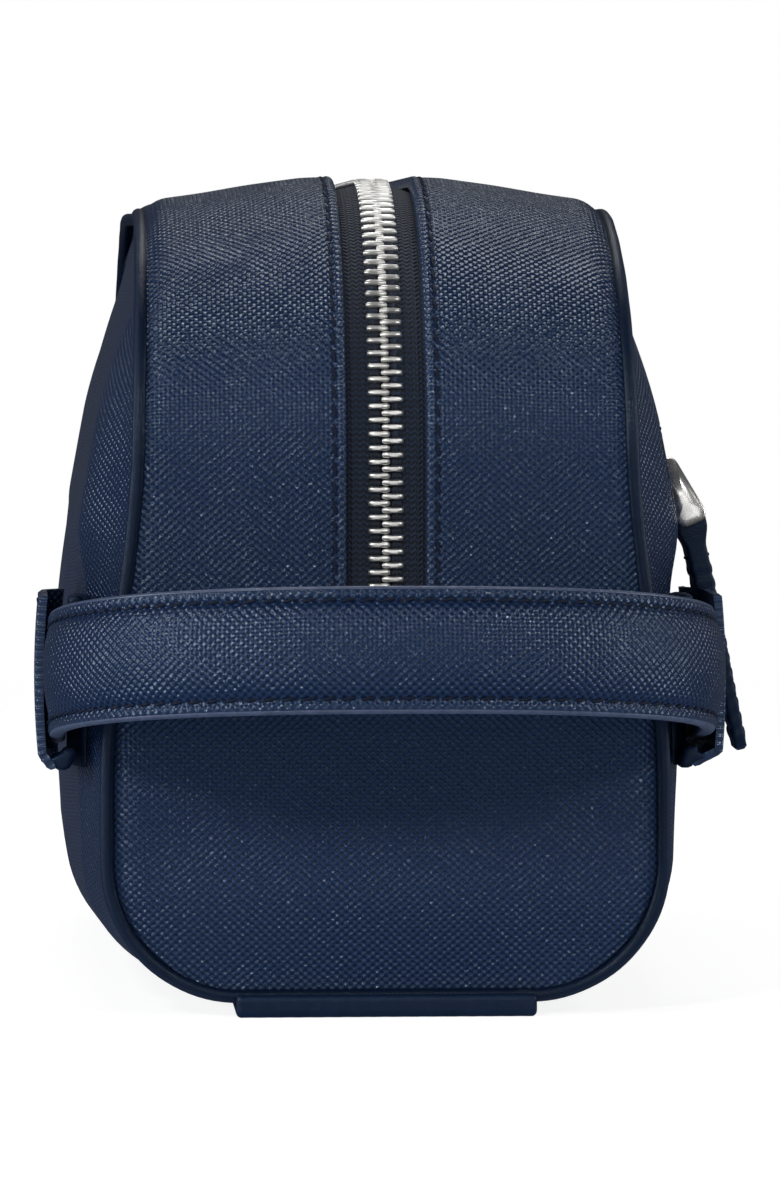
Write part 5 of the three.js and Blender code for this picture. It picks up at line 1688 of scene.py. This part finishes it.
def build_patch(side, name):
    """Outer leaf of the anchor: a flange sewn to the bag that rises and bows out over the strap's end."""
    spread = np.linspace(-1, 1, 41)
    z_stops = 0.35 * np.sin(spread * math.pi / 2) + 0.65 * spread
    front, cap_rear, rear = PATCH_FRONT_Y, PATCH_CAP_REAR_Y, PATCH_REAR_Y
    fine = np.array([0.12, 0.35, 0.7, 1.2, 1.8, 2.2, 2.6])
    flange = np.linspace(cap_rear, rear, 10)
    y_stops = joined(np.linspace(front, cap_rear, 20), flange, front + fine, rear - fine)
    y, share = np.meshgrid(y_stops, z_stops, indexing="ij")
    z = ANCHOR_Z + PATCH_HALF_HEIGHT * share
    lift = smooth((cap_rear + PATCH_RISE - y) / PATCH_RISE)
    seat = half_width(y, z) + CLEARANCE + PATCH_FLANGE
    sleeve = sleeve_face(side, share)
    x = np.maximum(seat, seat + (sleeve - seat) * lift)
    base = np.stack([side * x, y, z], axis=-1)
    towards = facing(base, 0, side)
    from_end = np.minimum(y - front, rear - y)
    edge = np.minimum(from_end, PATCH_HALF_HEIGHT * (1 - np.abs(share)))
    height = rolled(edge, 0.7) + groove(edge - LIP_STITCH, 0.22, 0.5)
    uv = np.stack([side * y, z], axis=-1)
    outer, normal = leather_slab(
        name, base, towards, height, PATCH_FLANGE, uv, np.exp(-edge / 0.8),
        body="bag", slot="saffiano", material=SAFFIANO, replaces=(name,),
    )
    rows = []
    for target in (-1, 1):
        j = int(np.argmin(np.abs(z_stops - target * (1 - LIP_STITCH / PATCH_HALF_HEIGHT))))
        rows.append(stitch_row(outer[2:-6, j], normal[2:-6, j], lift=0.1))
    i = int(np.argmin(np.abs(y_stops - (rear - LIP_STITCH))))
    rows.append(stitch_row(outer[i, 3:-3], normal[i, 3:-3], lift=0.1))
    return rows


def build_sleeve(side, name):
    """The anchor's inner leaf, closed to the outer leaf by folds above and below the strap."""
    parts, uvs = [], []
    for up in (-1, 1):
        # closing fold, leaning outwards away from the strap
        stops = np.linspace(SLEEVE_MOUTH_HALF - 0.6, PATCH_HALF_HEIGHT - 0.15, 18)
        section = fillet(
            [(-ROLL_HALF, ROLL_DEPTH), (-ROLL_HALF, 0), (ROLL_HALF, 0), (ROLL_HALF, ROLL_DEPTH)],
            [0.2, 1.55, 1.55, 0.2], 6)
        sections = []
        for height in stops:
            rim = min(stops[-1] - height, height - stops[0])
            size = 1 + float(rolled(np.array(min(rim, 1.1)), 1.1)) / 2.2
            lean = (height - SLEEVE_MOUTH_HALF) / (PATCH_HALF_HEIGHT - SLEEVE_MOUTH_HALF)
            z = ANCHOR_Z + up * height
            y = PATCH_FRONT_Y - 0.3 + section[:, 1] + 0.8 * (1 - size)
            seat = half_width(y, np.full(len(y), z)) + CLEARANCE
            # the upper roll stays inside the strap, clear of its swing
            middle = ROLL_X + ROLL_LEAN[side] * lean if up < 0 else UPPER_ROLL_X
            leaf = float(sleeve_face(side, up * height / PATCH_HALF_HEIGHT)) - PATCH_FLANGE
            # towards its end the roll fills the space up to the outer leaf
            share = float(smooth((height - ROLL_FILL_FROM) / ROLL_FILL_RUN)) * (up < 0)
            fill = max(0.0, leaf - middle - ROLL_HALF) * share
            x = np.maximum(middle + section[:, 0] * size + fill * (section[:, 0] > 0), seat)
            sections.append(np.stack([side * x, y, np.full(len(section), z)], axis=1))
        parts.append(capped_loft(sections))
        around = lengths_along(np.concatenate([section, section[:1]]), 0)[:-1]
        uv = grid(around[None, :], stops[:, None]).reshape(-1, 2)
        uvs.append(np.concatenate([uv, [[0, 0], [0, 0]]]))
    # inner leaf, between the strap and the bag
    fine = SLEEVE_INNER_Y + np.array([0, 0.15, 0.4, 0.8])
    y_stops = joined(fine, np.linspace(SLEEVE_INNER_Y + 0.8, SLEEVE_INNER_REAR, 8))
    z_stops = ANCHOR_Z + np.linspace(-PATCH_HALF_HEIGHT + 0.4, PATCH_HALF_HEIGHT - 0.4, 20)
    y, z = np.meshgrid(y_stops, z_stops, indexing="ij")
    seat = half_width(y, z) + CLEARANCE
    outer_x = seat + 0.9 + rolled(y - SLEEVE_INNER_Y, 0.6)
    inner_x = np.maximum(outer_x - 1.2, seat)
    points = np.concatenate([
        np.stack([side * outer_x, y, z], axis=-1).reshape(-1, 3),
        np.stack([side * inner_x, y, z], axis=-1).reshape(-1, 3),
    ])
    faces = facing_out(points, slab_faces(*y.shape))
    parts.append((points, [tuple(f) for f in faces.tolist()]))
    uvs.append(np.tile(np.stack([y, z], axis=-1).reshape(-1, 2), (2, 1)))
    points, faces = merged(parts)
    make_piece(name, points, faces, "bag", "smooth_leather", SMOOTH, uv=np.concatenate(uvs))


patch_rows = build_patch(1, "anchor_patch_right") + build_patch(-1, "anchor_patch_left")
sew("patch_stitching", patch_rows, "bag")
build_sleeve(1, "anchor_sleeve_right")
build_sleeve(-1, "anchor_sleeve_left")


# ---- Frame pieces that keep their own shape ----

CARRIED = {
    "lining_right": LINING, "lining_left": LINING, "lining_end_near": LINING, "lining_end_far": LINING,
    "lining_gusset_right": LINING, "lining_gusset_left": LINING, "pocket_bag": LINING,
    "base_board": BOARD, "handle_core": FELT,
}
for node_name, material in CARRIED.items():
    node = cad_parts[node_name]
    for index in range(len(node.material_slots)):
        node.material_slots[index].link = "OBJECT"
        node.material_slots[index].material = material


# ---- Stage, light and camera ----

def build_floor():
    """A white disc that fades into the white surround."""
    mesh = bpy.data.meshes.new("floor")
    size = 3.0
    corners = [(-size, -size, 0), (size, -size, 0), (size, size, 0), (-size, size, 0)]
    mesh.from_pydata(corners, [], [(0, 1, 2, 3)])
    floor = bpy.data.objects.new("floor", mesh)
    bpy.context.scene.collection.objects.link(floor)
    s = Shader("studio_floor")
    place = s.place()
    reach = s.node("ShaderNodeVectorMath", {"operation": "LENGTH"}, i0=place).outputs["Value"]
    fade = s.node("ShaderNodeMapRange", {"interpolation_type": "SMOOTHSTEP"}, i0=reach, i1=0.5, i2=1.2)
    fine = s.noise(place, 300.0, 2.0)
    s.set(Base_Color=s.mix(s.math("MULTIPLY", fine, 0.02), rgb(0.34, 0.34, 0.34), rgb(0.31, 0.31, 0.31)))
    s.set(Roughness=0.9)
    s.set(Specular_IOR_Level=0.1)
    s.set(Emission_Color=rgb(1, 1, 1))
    s.set(Emission_Strength=0.84)
    clear = s.nodes.new("ShaderNodeBsdfTransparent")
    mix = s.nodes.new("ShaderNodeMixShader")
    s.links.new(fade.outputs[0], mix.inputs[0])
    s.links.new(s.surface.outputs[0], mix.inputs[1])
    s.links.new(clear.outputs[0], mix.inputs[2])
    s.links.new(mix.outputs[0], s.nodes["Material Output"].inputs["Surface"])
    mesh.materials.append(s.material)
    floor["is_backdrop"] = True
    floor.visible_glossy = False


def softbox(name, location, target, width, height, power):
    light = bpy.data.lights.new(name, "AREA")
    light.shape = "RECTANGLE"
    light.size = width
    light.size_y = height
    light.energy = power
    holder = bpy.data.objects.new(name, light)
    bpy.context.scene.collection.objects.link(holder)
    holder.location = location
    holder.visible_camera = False
    holder.rotation_euler = (Vector(target) - Vector(location)).to_track_quat("-Z", "Y").to_euler()


def build_world():
    """White behind the object; a dimmer surround lights it."""
    world = bpy.data.worlds.new("studio")
    bpy.context.scene.world = world
    world.use_nodes = True
    nodes, links = world.node_tree.nodes, world.node_tree.links
    nodes.clear()
    output = nodes.new("ShaderNodeOutputWorld")
    mix = nodes.new("ShaderNodeMixShader")
    seen = nodes.new("ShaderNodeBackground")
    seen.inputs["Color"].default_value = rgb(1, 1, 1)
    seen.inputs["Strength"].default_value = 1.0
    fill = nodes.new("ShaderNodeBackground")
    fill.inputs["Color"].default_value = rgb(0.95, 0.97, 1.0)
    fill.inputs["Strength"].default_value = 0.06
    path = nodes.new("ShaderNodeLightPath")
    links.new(path.outputs["Is Camera Ray"], mix.inputs[0])
    links.new(fill.outputs[0], mix.inputs[1])
    links.new(seen.outputs[0], mix.inputs[2])
    links.new(mix.outputs[0], output.inputs["Surface"])


def build_camera():
    camera = bpy.data.cameras.new("camera")
    holder = bpy.data.objects.new("camera", camera)
    bpy.context.scene.collection.objects.link(holder)
    holder.location = (-0.0780, -1.525, 0.150)
    aim = Vector((0.0008, -0.125, 0.0848))
    holder.rotation_euler = (aim - holder.location).to_track_quat("-Z", "Y").to_euler()
    camera.sensor_fit = "VERTICAL"
    camera.sensor_height = 36
    camera.sensor_width = 36 * 780 / 1196
    camera.lens = 209.0
    camera.clip_start = 0.05
    bpy.context.scene.camera = holder


build_floor()
build_world()
build_camera()
MIDDLE = (0, -0.05, 0.09)
softbox("top_box", (-0.05, 0.42, 1.10), (0, -0.05, 0.14), 0.7, 0.30, 2.6)
softbox("front_box", (0.10, -1.90, 0.21), MIDDLE, 1.5, 0.38, 3.6)
softbox("left_glint", (-0.60, -1.25, 0.85), MIDDLE, 0.12, 0.26, 6.5)
softbox("right_glint", (0.64, -1.20, 0.80), MIDDLE, 0.11, 0.22, 3.6)
softbox("left_side", (-1.45, -0.35, 0.50), MIDDLE, 0.8, 0.8, 14)
softbox("right_side", (1.45, -0.10, 0.50), MIDDLE, 0.8, 0.8, 8)
softbox("back_box", (0.30, 0.95, 1.25), MIDDLE, 0.7, 0.4, 2.0)

bpy.context.scene.view_settings.view_transform = "Standard"
bpy.context.scene.view_settings.look = "None"

final_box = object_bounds()
boxes = {"cad": cad_box, "visual": final_box}
{key: [list(map(float, corner)) for corner in box] for key, box in boxes.items()}
